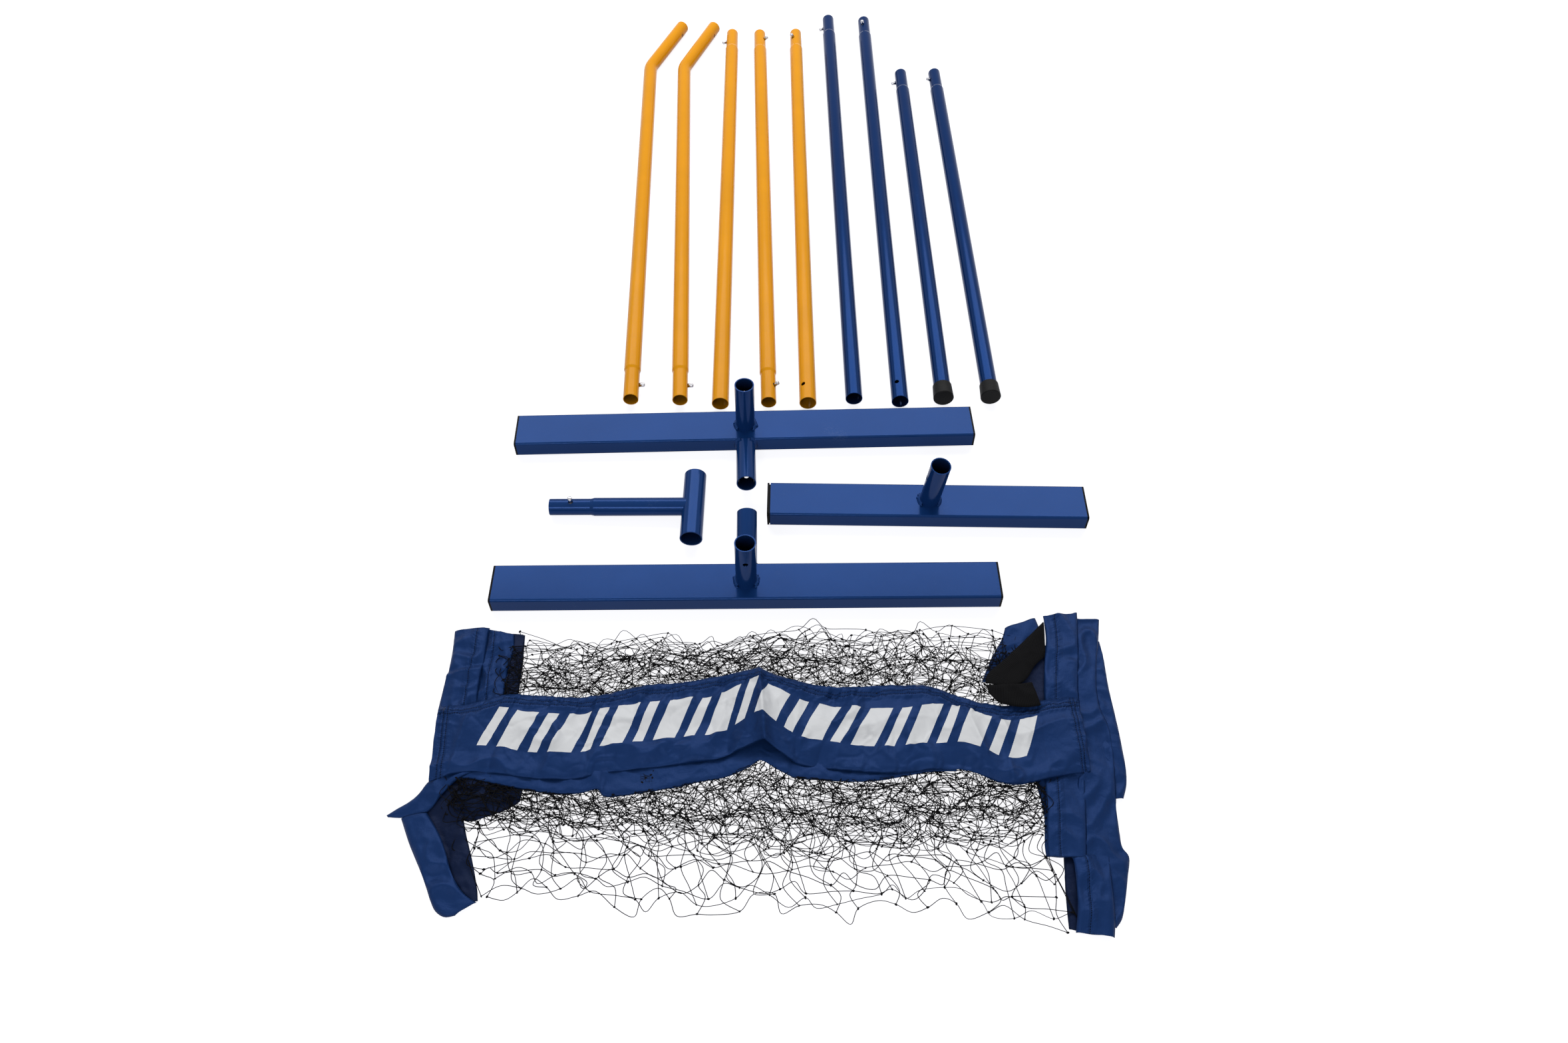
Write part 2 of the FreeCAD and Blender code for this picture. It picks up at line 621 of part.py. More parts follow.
def build_band():
    """The net's top tape, folded over: its front ply and the ply that shows below it."""
    front_ply = [
        ((-400, -788), (-402, -686), 3.0, 7.0),
        ((-343, -786), (-350, -678), 4.0, 11.0),
        ((-290, -782), (-296, -671), 5.0, 9.0),
        ((-206, -776), (-206, -673), 3.0, 8.0),
        ((-150, -771), (-160, -655), 4.0, 10.0),
        ((-90, -765), (-100, -648), 4.0, 11.0),
        ((-52, -755), (-55, -643), 5.0, 13.0),
        ((-8, -735), (-12, -637), 8.0, 26.0),
        ((38, -747), (36, -650), 5.0, 12.0),
        ((116, -762), (116, -658), 3.0, 9.0),
        ((197, -772), (197, -661), 4.0, 10.0),
        ((240, -780), (238, -672), 5.0, 11.0),
        ((292, -786), (286, -678), 3.0, 10.0),
        ((380, -770), (378, -674), 2.0, 6.0),
    ]
    save("band_front_ply", cloth(front_ply, BAND_BASE))
    under_ply = [
        ((-299, -791), (-299, -690), UNDER_PLY_EDGE, UNDER_PLY_EDGE + 0.8),
        ((-245, -797), (-245, -680), UNDER_PLY_EDGE, UNDER_PLY_EDGE + UNDER_PLY_SWELL),
        ((-186, -800), (-186, -680), UNDER_PLY_EDGE, UNDER_PLY_EDGE + 1.0),
        ((-58, -767), (-58, -670), UNDER_PLY_EDGE, UNDER_PLY_EDGE + UNDER_PLY_SWELL),
        ((-7, -752), (-7, -660), UNDER_PLY_EDGE, UNDER_PLY_EDGE + 1.0),
        ((34, -772), (34, -670), UNDER_PLY_EDGE, UNDER_PLY_EDGE + UNDER_PLY_SWELL),
        ((116, -776), (116, -680), UNDER_PLY_EDGE, UNDER_PLY_EDGE + 1.0),
        ((262, -764), (262, -686), UNDER_PLY_EDGE, UNDER_PLY_EDGE + 0.8),
    ]
    save("band_back_ply", cloth(under_ply, UNDER_PLY_BASE))


def build_left_sleeve():
    outer = [
        ((-403, -576), (-355, -570), 3.0, 7.5),
        ((-401, -629), (-350, -629), 4.0, 8.0),
        ((-405, -690), (-345, -690), 3.0, UNDER_BAND),
    ]
    inner = [
        ((-362, -580), (-314, -581), 3.0, 5.0),
        ((-358, -629), (-307, -629), 3.0, 5.0),
        ((-352, -690), (-301, -690), 3.0, 5.0),
    ]
    save("sleeve_left_upper", strip(outer).fuse(strip(inner)))
    flap = [
        ((-437, -825), (-436, -822), 1.5, 1.6),
        ((-414, -827.3), (-416, -810), 3.0, 5.0),
        ((-388, -822), (-403, -792), 4.0, 7.5),
        ((-362, -800), (-396, -778), 4.0, UNDER_BAND),
    ]
    inside = [
        ((-384, -818), (-384, -778), 3.0, 5.0),
        ((-345, -825.6), (-345, -778), 3.0, 5.5),
        ((-313, -813), (-313, -778), 2.0, 3.5),
    ]
    save("sleeve_left_fold", strip(flap).fuse(strip(inside)))
    lower = [
        ((-419, -828), (-347, -826), 3.0, 7.0),
        ((-408, -860), (-334, -856), 4.0, 9.0),
        ((-391, -890), (-322, -885), 4.0, 9.0),
        ((-373, -920), (-315, -912), 3.0, 8.0),
        ((-357, -940), (-314, -929), 2.0, 5.0),
    ]
    save("sleeve_left_lower", strip(lower))


def build_right_sleeve():
    inner = [
        ((357, -541), (401, -535), 3.0, 7.0),
        ((348, -600), (391, -600), 4.0, 8.0),
        ((340, -664), (382, -664), 3.0, 7.5),
        ((337, -690), (379, -690), 3.0, UNDER_BAND),
    ]
    outer = [
        ((398, -545), (428, -545), 3.0, 6.0),
        ((386, -583), (424, -583), 4.0, 9.0),
        ((385, -634), (426, -634), 5.0, 11.0),
        ((384, -700), (427, -700), 5.0, 12.0),
        ((385, -764), (425, -768), 4.0, 10.0),
        ((386, -790), (419, -794), 2.0, 6.0),
    ]
    save("sleeve_right_upper", strip(inner).fuse(strip(outer)))
    inner_tail = [
        ((330, -760), (378, -760), 3.0, UNDER_BAND),
        ((324, -820), (370, -820), 4.0, 8.0),
        ((317, -867), (361, -867), 3.0, 7.0),
    ]
    outer_tail = [
        ((364, -796), (407, -796), 3.0, 5.5),
        ((362, -830), (404, -830), 3.0, 7.0),
        ((356, -867), (408, -867), 3.0, 6.0),
    ]
    save("sleeve_right_lower", strip(inner_tail).fuse(strip(outer_tail)))
    hem = [
        ((337, -867.4), (410, -867.4), 4.0, 8.0),
        ((335, -900), (404, -900), 5.0, 10.0),
        ((332, -934), (392, -934), 5.0, 9.0),
        ((337, -952), (379, -956), 4.0, 7.0),
    ]
    save("sleeve_right_hem", strip(hem))


def build_strap():
    """Flat webbing folded back on itself where it leaves the sleeve."""
    fold = [
        (270, -648), (302, -599), (352.6, -567), (346.8, -606), (308, -640),
        (341.2, -651), (338.8, -671), (300, -671), (279, -661),
    ]
    outline = [Vector(x, y, 0) for x, y in fold]
    save("webbing_strap", polygon_face(outline).extrude(Vector(0, 0, STRAP_HEIGHT)))


def build_net():
    save("netting_upper", netting(UPPER_NETTING, UPPER_MESHES))
    save("netting_lower", netting(LOWER_NETTING, LOWER_MESHES))
    build_band()
    build_left_sleeve()
    build_right_sleeve()
    build_strap()


def main():
    os.makedirs("parts", exist_ok=True)
    build_rail_poles()
    build_post_poles()
    build_feet()
    build_tee()
    build_net()


main()
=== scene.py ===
import bisect
import json
import math
import random

import bmesh
import bpy
from mathutils import Matrix, Vector, noise


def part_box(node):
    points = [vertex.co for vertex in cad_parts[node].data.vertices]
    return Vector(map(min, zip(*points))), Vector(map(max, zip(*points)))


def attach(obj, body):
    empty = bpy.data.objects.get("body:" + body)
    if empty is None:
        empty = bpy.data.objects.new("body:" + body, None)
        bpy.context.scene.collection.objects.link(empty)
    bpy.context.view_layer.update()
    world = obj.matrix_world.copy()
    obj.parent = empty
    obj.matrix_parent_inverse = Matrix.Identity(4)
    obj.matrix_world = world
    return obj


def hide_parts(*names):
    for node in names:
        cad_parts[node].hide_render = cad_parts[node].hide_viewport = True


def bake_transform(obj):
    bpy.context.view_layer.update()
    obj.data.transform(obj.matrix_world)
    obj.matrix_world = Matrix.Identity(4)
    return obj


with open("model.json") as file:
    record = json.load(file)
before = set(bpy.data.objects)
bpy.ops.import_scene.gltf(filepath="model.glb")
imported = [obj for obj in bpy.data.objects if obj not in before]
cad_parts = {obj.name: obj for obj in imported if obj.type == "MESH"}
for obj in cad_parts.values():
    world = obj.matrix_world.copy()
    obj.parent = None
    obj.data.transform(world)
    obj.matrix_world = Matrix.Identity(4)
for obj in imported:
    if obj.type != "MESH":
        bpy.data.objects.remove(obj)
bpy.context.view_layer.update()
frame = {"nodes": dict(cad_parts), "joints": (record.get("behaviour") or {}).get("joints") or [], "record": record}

MM = 0.001

# Camera, in pixels of the photograph, millimetres, metres and degrees
PHOTO_WIDTH = 2357
FOCAL_PIXELS = 1709.0
SENSOR_WIDTH = 36.0
CAMERA_PLACE = (0.01825, -1.3615, 1.2428)
CAMERA_PITCH = 51.82
CAMERA_ROLL = 0.54

# Colours
YELLOW = (0.84, 0.34, 0.003)
BLUE = (0.007, 0.040, 0.162)
# Painted shade: a darker copy of the blue coat for the posts
BLUE_POST_SHADED = (0.0015, 0.026, 0.120)
# Painted shade: the darker colours that the coats turn to in their bores and hollows
YELLOW_BORE_SHADE = (0.24, 0.10, 0.003)
BLUE_BORE_SHADE = (0.002, 0.005, 0.018)
NAVY = (0.007, 0.029, 0.112)
# Painted shade: a darker copy of the navy cloth for the inner plies that lie in shade
NAVY_SHADED = (0.004, 0.010, 0.036)
PRINT_WHITE = (0.78, 0.79, 0.80)
BLACK_THREAD = (0.006, 0.006, 0.007)
BLACK_WEBBING = (0.005, 0.005, 0.0055)

# Stage, in metres and watts
WORLD_LIGHT = 0.28
PAPER = (0.38, 0.38, 0.40)
PAPER_GLOW = 0.86
FLOOR_HALF = 12.0
FLOOR_DROP = 0.0002
LAMPS = (("far_softbox", (0.0, 1.9, 2.3), (0.0, -0.2, 0.0), (4.2, 1.5), 80.0),
         ("front_softbox", (-0.5, -2.8, 2.0), (0.0, -0.5, 0.0), (1.6, 0.8), 26.0))

# Finishes: lengths in metres, and waves in radians per metre
# Reach of the painted shade in bores and hollows
BORE_SHADE_REACH = 0.03
CLOTH_ROUGHNESS = 0.38
CLOTH_SHEEN = 0.24
WEAVE_WAVES = 9000.0
WEBBING_WAVES = 1650.0
STITCHES_PER_METRE = 380.0
BAND_STITCHES = (0.0085, 0.0135)
BAND_END_STITCHES = (0.0095, 0.0140, 0.7800, 0.7845)
SLEEVE_STITCHES = (0.0145,)
BAR_SLANT = 0.42
BAR_STEP = 0.062
WIDE_BAR = (0.0, 0.027)
NARROW_BAR = (0.038, 0.050)
BARS_ALONG = (0.03, 0.705)
BARS_ACROSS = (0.033, 0.083)

# Netting and cloth, in millimetres, in the same frame as the nodes
TWINE_RADIUS = 0.43
LOOSE_TWINE_RADIUS = 0.46
MESH_SIDE = 47.0
LOWER_LAYERS = 14
KNOT_SIZES = (1.1, 1.65)
KNOT_SHAPE = (1.35, 0.9, 0.85, 1.0)
CREST_AT = 396.0
NOISE_SEED = 7
UNDER_FRONT_PLY = 6.0
UNDER_BACK_PLY = 5.4
OPEN_HEIGHT = 14.0

# Metal pieces, in metres
PIN_RADIUS = 0.003175
PIN_END = ((0.0, 0.0), (0.45, 0.00010), (0.75, 0.00040), (0.93, 0.00090), (1.0, 0.00170))
DROPS_PER_SIDE = 7

# Objects and nodes


def add_object(name, data):
    made = bpy.data.objects.new(name, data)
    bpy.context.scene.collection.objects.link(made)
    return made


def mesh_of(name, bm):
    mesh = bpy.data.meshes.new(name)
    bm.to_mesh(mesh)
    bm.free()
    return mesh


def add_piece(name, mesh, finish, body=None, node=None):
    """Object with one finish, which rides on a body and replaces a node, where they are given."""
    mesh.materials.clear()
    mesh.materials.append(finish)
    piece = add_object(name, mesh)
    if body:
        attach(piece, body)
    if node:
        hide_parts(node)
    return piece


def add_node(tree, kind, inputs=None, **settings):
    """New node with its settings and its inputs, given as values or as sockets to link."""
    made = tree.nodes.new(kind)
    for key, value in settings.items():
        setattr(made, key, value)
    for key, value in (inputs or {}).items():
        if isinstance(value, bpy.types.NodeSocket):
            tree.links.new(value, made.inputs[key])
        else:
            made.inputs[key].default_value = value
    return made


def maths(tree, operation, *values):
    return add_node(tree, "ShaderNodeMath", dict(enumerate(values)), operation=operation).outputs[0]


def plus(tree, a, b):
    return maths(tree, "ADD", a, b)


def minus(tree, a, b):
    return maths(tree, "SUBTRACT", a, b)


def times(tree, a, b):
    return maths(tree, "MULTIPLY", a, b)


def ramp(tree, value, start, end, low=0.0, high=1.0):
    """Runs from low to high while the value runs from start to end."""
    return add_node(tree, "ShaderNodeMapRange", {"Value": value, "From Min": start, "From Max": end,
                                                 "To Min": low, "To Max": high}).outputs[0]


def cloud(tree, place, scale, detail, roughness=0.5, distortion=0.0):
    """Soft noise between 0 and 1."""
    return add_node(tree, "ShaderNodeTexNoise", {
        "Vector": place, "Scale": scale, "Detail": detail, "Roughness": roughness,
        "Distortion": distortion}).outputs[0]


def scaled(tree, colour, factor):
    return add_node(tree, "ShaderNodeVectorMath", {0: colour, "Scale": factor},
                    operation="SCALE").outputs[0]


def mixed(tree, share, first, second):
    """Colour between the first one, at share 0, and the second one, at share 1."""
    return add_node(tree, "ShaderNodeMix", {0: share, 6: first, 7: second},
                    data_type="RGBA").outputs[2]


def two_parts(tree, vector):
    """First and second part of a vector."""
    return add_node(tree, "ShaderNodeSeparateXYZ", {0: vector}).outputs[:2]


def use_group(tree, group, inputs):
    return add_node(tree, "ShaderNodeGroup", inputs, node_tree=group).outputs


def new_material(name):
    material = bpy.data.materials.new(name)
    material.use_nodes = True
    material.node_tree.nodes.clear()
    return material, material.node_tree


def rgba(colour):
    return (*colour, 1.0)


# Stage


def make_camera():
    data = bpy.data.cameras.new("photo_camera")
    data.sensor_fit = "HORIZONTAL"
    data.sensor_width = SENSOR_WIDTH
    data.lens = FOCAL_PIXELS / PHOTO_WIDTH * SENSOR_WIDTH
    data.clip_start = 0.05
    data.clip_end = 50.0
    pitch = math.radians(CAMERA_PITCH)
    roll = math.radians(CAMERA_ROLL)
    forward = Vector((0.0, math.cos(pitch), -math.sin(pitch)))
    level = Vector((1.0, 0.0, 0.0))
    up = level.cross(forward)
    right = level * math.cos(roll) + up * math.sin(roll)
    top = up * math.cos(roll) - level * math.sin(roll)
    camera = add_object("photo_camera", data)
    camera.matrix_world = Matrix.Translation(CAMERA_PLACE) @ Matrix(
        (right, top, -forward)).transposed().to_4x4()
    bpy.context.scene.camera = camera


def seen_directly(tree):
    """1 for camera, glossy and transmission rays, which see the white studio."""
    path = add_node(tree, "ShaderNodeLightPath")
    seen = maths(tree, "MAXIMUM", path.outputs["Is Camera Ray"], path.outputs["Is Glossy Ray"])
    return maths(tree, "MAXIMUM", seen, path.outputs["Is Transmission Ray"])


def make_world():
    world = bpy.data.worlds.new("studio")
    world.use_nodes = True
    tree = world.node_tree
    tree.nodes.clear()
    light = add_node(tree, "ShaderNodeBackground", {"Color": (0.93, 0.95, 1.0, 1.0),
                                                    "Strength": WORLD_LIGHT})
    white = add_node(tree, "ShaderNodeBackground", {"Color": (1.0, 1.0, 1.0, 1.0), "Strength": 1.0})
    studio = add_node(tree, "ShaderNodeMixShader", {0: seen_directly(tree), 1: light.outputs[0],
                                                    2: white.outputs[0]})
    add_node(tree, "ShaderNodeOutputWorld", {"Surface": studio.outputs[0]})
    bpy.context.scene.world = world


def make_floor():
    bm = bmesh.new()
    bmesh.ops.create_grid(bm, x_segments=1, y_segments=1, size=FLOOR_HALF)
    floor = add_object("floor", mesh_of("floor", bm))
    floor.location.z = -FLOOR_DROP
    material, tree = new_material("studio_paper")
    paper = add_node(tree, "ShaderNodeBsdfPrincipled", {
        "Base Color": rgba(PAPER), "Roughness": 0.9, "Specular IOR Level": 0.0,
        "Emission Color": (0.98, 0.98, 1.0, 1.0),
        "Emission Strength": times(tree, seen_directly(tree), PAPER_GLOW)})
    add_node(tree, "ShaderNodeOutputMaterial", {"Surface": paper.outputs[0]})
    floor.data.materials.append(material)


def add_lamp(name, place, aim, size, power):
    data = bpy.data.lights.new(name, "AREA")
    data.shape = "RECTANGLE"
    data.size, data.size_y = size
    data.energy = power
    lamp = add_object(name, data)
    lamp.location = place
    lamp.rotation_euler = (Vector(aim) - Vector(place)).to_track_quat("-Z", "Y").to_euler()


# Shared material effects


def new_group(name, inputs, outputs):
    """Node group with named inputs (name, kind, default) and outputs (name, kind)."""
    tree = bpy.data.node_groups.new(name, "ShaderNodeTree")
    for label, kind, value in inputs:
        socket = tree.interface.new_socket(label, in_out="INPUT", socket_type=kind)
        if value is not None:
            socket.default_value = value
    for label, kind in outputs:
        tree.interface.new_socket(label, in_out="OUTPUT", socket_type=kind)
    entry = tree.nodes.new("NodeGroupInput").outputs
    leave = tree.nodes.new("NodeGroupOutput").inputs
    return tree, entry, leave


def give(tree, leave, **values):
    """Links values to the group's outputs of the same names."""
    for name, value in values.items():
        tree.links.new(value, leave[name])


FLOAT = "NodeSocketFloat"
COLOUR = "NodeSocketColor"
VECTOR = "NodeSocketVector"


def mottled_group():
    """Slow drift of a colour, with fine specks of wear or dust."""
    tree, entry, leave = new_group("mottled", [
        ("Place", VECTOR, None), ("Colour", COLOUR, None), ("Worn Colour", COLOUR, None),
        ("Drift", FLOAT, 0.1), ("Wear", FLOAT, 0.1)], [("Colour", COLOUR)])
    place = entry["Place"]
    shift = times(tree, minus(tree, cloud(tree, place, 14.0, 3.0), 0.5), entry["Drift"])
    drifted = scaled(tree, entry["Colour"], plus(tree, 1.0, times(tree, shift, 2.0)))
    specks = times(tree, cloud(tree, place, 420.0, 4.0, 0.7), cloud(tree, place, 22.0, 2.0))
    wear = times(tree, ramp(tree, specks, 0.36, 0.44), entry["Wear"])
    give(tree, leave, Colour=mixed(tree, wear, drifted, entry["Worn Colour"]))
    return tree


def grain_group():
    """Fine pimpled surface of powder coat, rubber or moulded plastic."""
    tree, entry, leave = new_group("grain", [
        ("Place", VECTOR, None), ("Scale", FLOAT, 500.0), ("Roughness", FLOAT, 0.3),
        ("Spread", FLOAT, 0.1)], [("Height", FLOAT), ("Roughness", FLOAT)])
    drift = times(tree, minus(tree, cloud(tree, entry["Place"], 35.0, 4.0), 0.5), entry["Spread"])
    give(tree, leave, Height=cloud(tree, entry["Place"], entry["Scale"], 2.0),
         Roughness=plus(tree, entry["Roughness"], drift))
    return tree


def weave_group():
    """Plain weave in the cloth's own run and width, with slubs."""
    tree, entry, leave = new_group("weave", [("Run", VECTOR, None), ("Depth", FLOAT, 1.0)],
                                   [("Height", FLOAT), ("Shade", FLOAT)])
    warp, weft = [maths(tree, "SINE", times(tree, part, WEAVE_WAVES))
                  for part in two_parts(tree, entry["Run"])]
    stretched = add_node(tree, "ShaderNodeMapping", {"Vector": entry["Run"], "Scale": (60.0, 900.0, 1.0)})
    give(tree, leave, Height=times(tree, times(tree, warp, weft), entry["Depth"]),
         Shade=cloud(tree, stretched.outputs[0], 1.0, 3.0))
    return tree


def stitch_group():
    """Row of stitches at a distance from an edge: thread mask and pulled-in height."""
    tree, entry, leave = new_group("stitch_row", [
        ("Along", FLOAT, None), ("Across", FLOAT, None), ("Distance", FLOAT, 0.008),
    ], [("Thread", FLOAT), ("Height", FLOAT)])
    aside = minus(tree, entry["Across"], entry["Distance"])
    off = maths(tree, "ABSOLUTE", aside)
    line = ramp(tree, off, 0.0003, 0.0007, 1.0, 0.0)
    groove = ramp(tree, off, 0.0002, 0.0026, -1.8, 0.0)
    reach = ramp(tree, off, 0.0005, 0.0075, 3.4, 0.0)
    slanted = plus(tree, entry["Along"], times(tree, aside, 0.5))
    spot = add_node(tree, "ShaderNodeCombineXYZ", {0: times(tree, slanted, 210.0),
                                                   1: times(tree, aside, 60.0)})
    pucker = times(tree, cloud(tree, spot.outputs[0], 1.0, 1.0), reach)
    beat = maths(tree, "FRACT", times(tree, entry["Along"], STITCHES_PER_METRE))
    thread = times(tree, line, ramp(tree, beat, 0.62, 0.72, 1.0, 0.0))
    sunk = plus(tree, groove, times(tree, thread, 0.7))
    give(tree, leave, Thread=thread, Height=plus(tree, sunk, pucker))
    return tree


def slanted_bars_group():
    """Row of slanted bars, a wide one and a narrow one by turns."""
    tree, entry, leave = new_group("slanted_bars", [("Run", VECTOR, None)], [("Mask", FLOAT)])
    along, across = two_parts(tree, entry["Run"])
    slid = minus(tree, along, times(tree, across, BAR_SLANT))
    step = times(tree, maths(tree, "FRACT", maths(tree, "DIVIDE", slid, BAR_STEP)), BAR_STEP)

    def inside(value, low, high):
        return times(tree, maths(tree, "GREATER_THAN", value, low),
                     maths(tree, "LESS_THAN", value, high))

    bars = maths(tree, "MAXIMUM", inside(step, *WIDE_BAR), inside(step, *NARROW_BAR))
    row = times(tree, inside(across, *BARS_ACROSS), inside(slid, *BARS_ALONG))
    give(tree, leave, Mask=times(tree, bars, row))
    return tree


# Finishes


def finish_material(tree, surface, height, depth):
    bump = add_node(tree, "ShaderNodeBump", {"Height": height, "Distance": depth, "Strength": 1.0})
    tree.links.new(bump.outputs[0], surface.inputs["Normal"])
    add_node(tree, "ShaderNodeOutputMaterial", {"Surface": surface.outputs[0]})


def coated_metal(name, groups, colour, inside, worn, roughness, wear, metallic, specular):
    """Powder coat, with painted shade in the bores and other hollows, where ambient occlusion turns its colour to
    the darker inside colour.
    """
    material, tree = new_material(name)
    place = add_node(tree, "ShaderNodeTexCoord").outputs["Object"]
    tone = use_group(tree, groups["mottled"], {
        "Place": place, "Colour": rgba(colour), "Worn Colour": rgba(worn), "Drift": 0.10, "Wear": wear})
    skin = use_group(tree, groups["grain"], {
        "Place": place, "Scale": 420.0, "Roughness": roughness, "Spread": 0.08})
    # Painted shade: ambient occlusion darkens the coat in bores and hollows
    openness = add_node(tree, "ShaderNodeAmbientOcclusion", {"Distance": BORE_SHADE_REACH}, samples=6,
                        only_local=True)
    unshaded_share = ramp(tree, openness.outputs["AO"], 0.2, 0.7)
    surface = add_node(tree, "ShaderNodeBsdfPrincipled", {
        "Base Color": mixed(tree, unshaded_share, rgba(inside), tone["Colour"]),
        "Roughness": skin["Roughness"], "Metallic": metallic, "Specular IOR Level": specular,
        "Coat Weight": 0.04, "Coat Roughness": 0.04})
    finish_material(tree, surface, skin["Height"], 0.00003)
    return name, material


def plain_finish(name, groups, colour, worn, roughness, metallic=0.0, scale=700.0, depth=0.00008,
                 drift=0.15, wear=0.3, specular=0.5):
    """Rubber, plastic, steel or thread with a fine grain."""
    material, tree = new_material(name)
    place = add_node(tree, "ShaderNodeTexCoord").outputs["Object"]
    tone = use_group(tree, groups["mottled"], {
        "Place": place, "Colour": rgba(colour), "Worn Colour": rgba(worn), "Drift": drift, "Wear": wear})
    skin = use_group(tree, groups["grain"], {
        "Place": place, "Scale": scale, "Roughness": roughness, "Spread": 0.2})
    surface = add_node(tree, "ShaderNodeBsdfPrincipled", {
        "Base Color": tone["Colour"], "Roughness": skin["Roughness"], "Metallic": metallic,
        "Specular IOR Level": specular})
    finish_material(tree, surface, skin["Height"], depth)
    return name, material


def cloth_material(name, groups, colour, near_stitches=(), far_stitches=(), end_stitches=(),
                   bars=False):
    """Satin nylon with weave, soft creases, rows of stitches and, on the band, white bars."""
    material, tree = new_material(name)
    place = add_node(tree, "ShaderNodeTexCoord").outputs["Object"]
    run = add_node(tree, "ShaderNodeUVMap", uv_map="run").outputs[0]
    rim = add_node(tree, "ShaderNodeUVMap", uv_map="rim").outputs[0]
    along, near = two_parts(tree, run)
    far = two_parts(tree, rim)[0]
    woven = use_group(tree, groups["weave"], {"Run": run, "Depth": 0.06})
    height = plus(tree, times(tree, cloud(tree, place, 26.0, 4.0, distortion=0.6), 5.0),
                  times(tree, cloud(tree, place, 150.0, 3.0), 0.7))
    height = plus(tree, height, woven["Height"])
    thread = None
    rows = [(along, near, distance) for distance in near_stitches]
    rows += [(along, far, distance) for distance in far_stitches]
    rows += [(near, along, distance) for distance in end_stitches]
    for length, across, distance in rows:
        row = use_group(tree, groups["stitch_row"], {"Along": length, "Across": across,
                                                    "Distance": distance})
        height = plus(tree, height, times(tree, row["Height"], 1.5))
        thread = row["Thread"] if thread is None else maths(tree, "MAXIMUM", thread, row["Thread"])
    tone = use_group(tree, groups["mottled"], {
        "Place": place, "Colour": rgba(colour), "Worn Colour": rgba(tuple(c * 1.5 for c in colour)),
        "Drift": 0.12, "Wear": 0.05})
    tinted = scaled(tree, tone["Colour"], plus(tree, 0.94, times(tree, woven["Shade"], 0.12)))
    if thread is not None:
        tinted = mixed(tree, thread, tinted, rgba(tuple(c * 0.25 for c in colour)))
    sheen = CLOTH_SHEEN
    if bars:
        printed = use_group(tree, groups["slanted_bars"], {"Run": run})["Mask"]
        tinted = mixed(tree, printed, tinted, rgba(PRINT_WHITE))
        sheen = minus(tree, sheen, times(tree, printed, sheen))
    surface = add_node(tree, "ShaderNodeBsdfPrincipled", {
        "Base Color": tinted, "Roughness": CLOTH_ROUGHNESS, "Metallic": sheen,
        "Specular IOR Level": 0.07})
    finish_material(tree, surface, height, 0.0005)
    return name, material


def webbing_material(groups):
    """Black strap webbing with ribs across its width; its colour is darker between the ribs and lighter on them, a
    painted shade and highlight of the ribs.
    """
    material, tree = new_material("black_webbing")
    run = add_node(tree, "ShaderNodeUVMap", uv_map="run").outputs[0]
    place = add_node(tree, "ShaderNodeTexCoord").outputs["Object"]
    along = two_parts(tree, run)[0]
    rib = maths(tree, "ABSOLUTE", maths(tree, "SINE", times(tree, along, WEBBING_WAVES)))
    tone = use_group(tree, groups["mottled"], {
        "Place": place, "Colour": rgba(BLACK_WEBBING), "Worn Colour": rgba((0.02, 0.02, 0.02)),
        "Drift": 0.2, "Wear": 0.2})
    # Painted shade and highlight: the colour follows the rib height
    colour = scaled(tree, tone["Colour"], plus(tree, 0.55, times(tree, rib, 0.9)))
    surface = add_node(tree, "ShaderNodeBsdfPrincipled", {
        "Base Color": colour, "Roughness": 0.75, "Specular IOR Level": 0.05})
    finish_material(tree, surface, rib, 0.0004)
    return "black_webbing", material


def make_materials():
    groups = {tree.name: tree for tree in (
        mottled_group(), grain_group(), weave_group(), stitch_group(), slanted_bars_group())}
    return dict((
        coated_metal("yellow_coat", groups, YELLOW, YELLOW_BORE_SHADE, (0.45, 0.20, 0.02), roughness=0.20,
                     wear=0.12, metallic=0.0, specular=0.07),
        coated_metal("blue_coat", groups, BLUE, BLUE_BORE_SHADE, (0.06, 0.10, 0.22), roughness=0.16,
                     wear=0.2, metallic=0.18, specular=0.045),
        # Painted shade: the posts' darker copy of the blue coat
        coated_metal("blue_coat_shaded_posts", groups, BLUE_POST_SHADED, BLUE_BORE_SHADE, (0.03, 0.06, 0.16),
                     roughness=0.16, wear=0.2, metallic=0.30, specular=0.02),
        plain_finish("chromed_pin", groups, (0.42, 0.42, 0.45), (0.3, 0.3, 0.3), 0.12, metallic=1.0,
                     scale=900.0, depth=0.00001, drift=0.05, wear=0.1),
        plain_finish("spring_steel", groups, (0.45, 0.46, 0.48), (0.25, 0.22, 0.2), 0.32, metallic=1.0),
        plain_finish("black_rubber", groups, (0.006, 0.006, 0.0065), (0.03, 0.03, 0.03), 0.55,
                     specular=0.1),
        plain_finish("black_plastic", groups, (0.003, 0.003, 0.0035), (0.012, 0.012, 0.012), 0.4,
                     scale=900.0, depth=0.00005, specular=0.05),
        plain_finish("black_twine", groups, BLACK_THREAD, (0.02, 0.02, 0.02), 0.7, scale=1800.0,
                     depth=0.0001, specular=0.04),
        cloth_material("navy_band", groups, NAVY, far_stitches=BAND_STITCHES,
                       end_stitches=BAND_END_STITCHES, bars=True),
        cloth_material("navy_cloth", groups, NAVY),
        cloth_material("navy_hemmed", groups, NAVY, far_stitches=SLEEVE_STITCHES),
        cloth_material("navy_hemmed_left", groups, NAVY, near_stitches=SLEEVE_STITCHES),
        # Painted shade: the darker navy copy for the plies in shade
        cloth_material("navy_painted_shade", groups, NAVY_SHADED),
        webbing_material(groups),
    ))


# Cloth


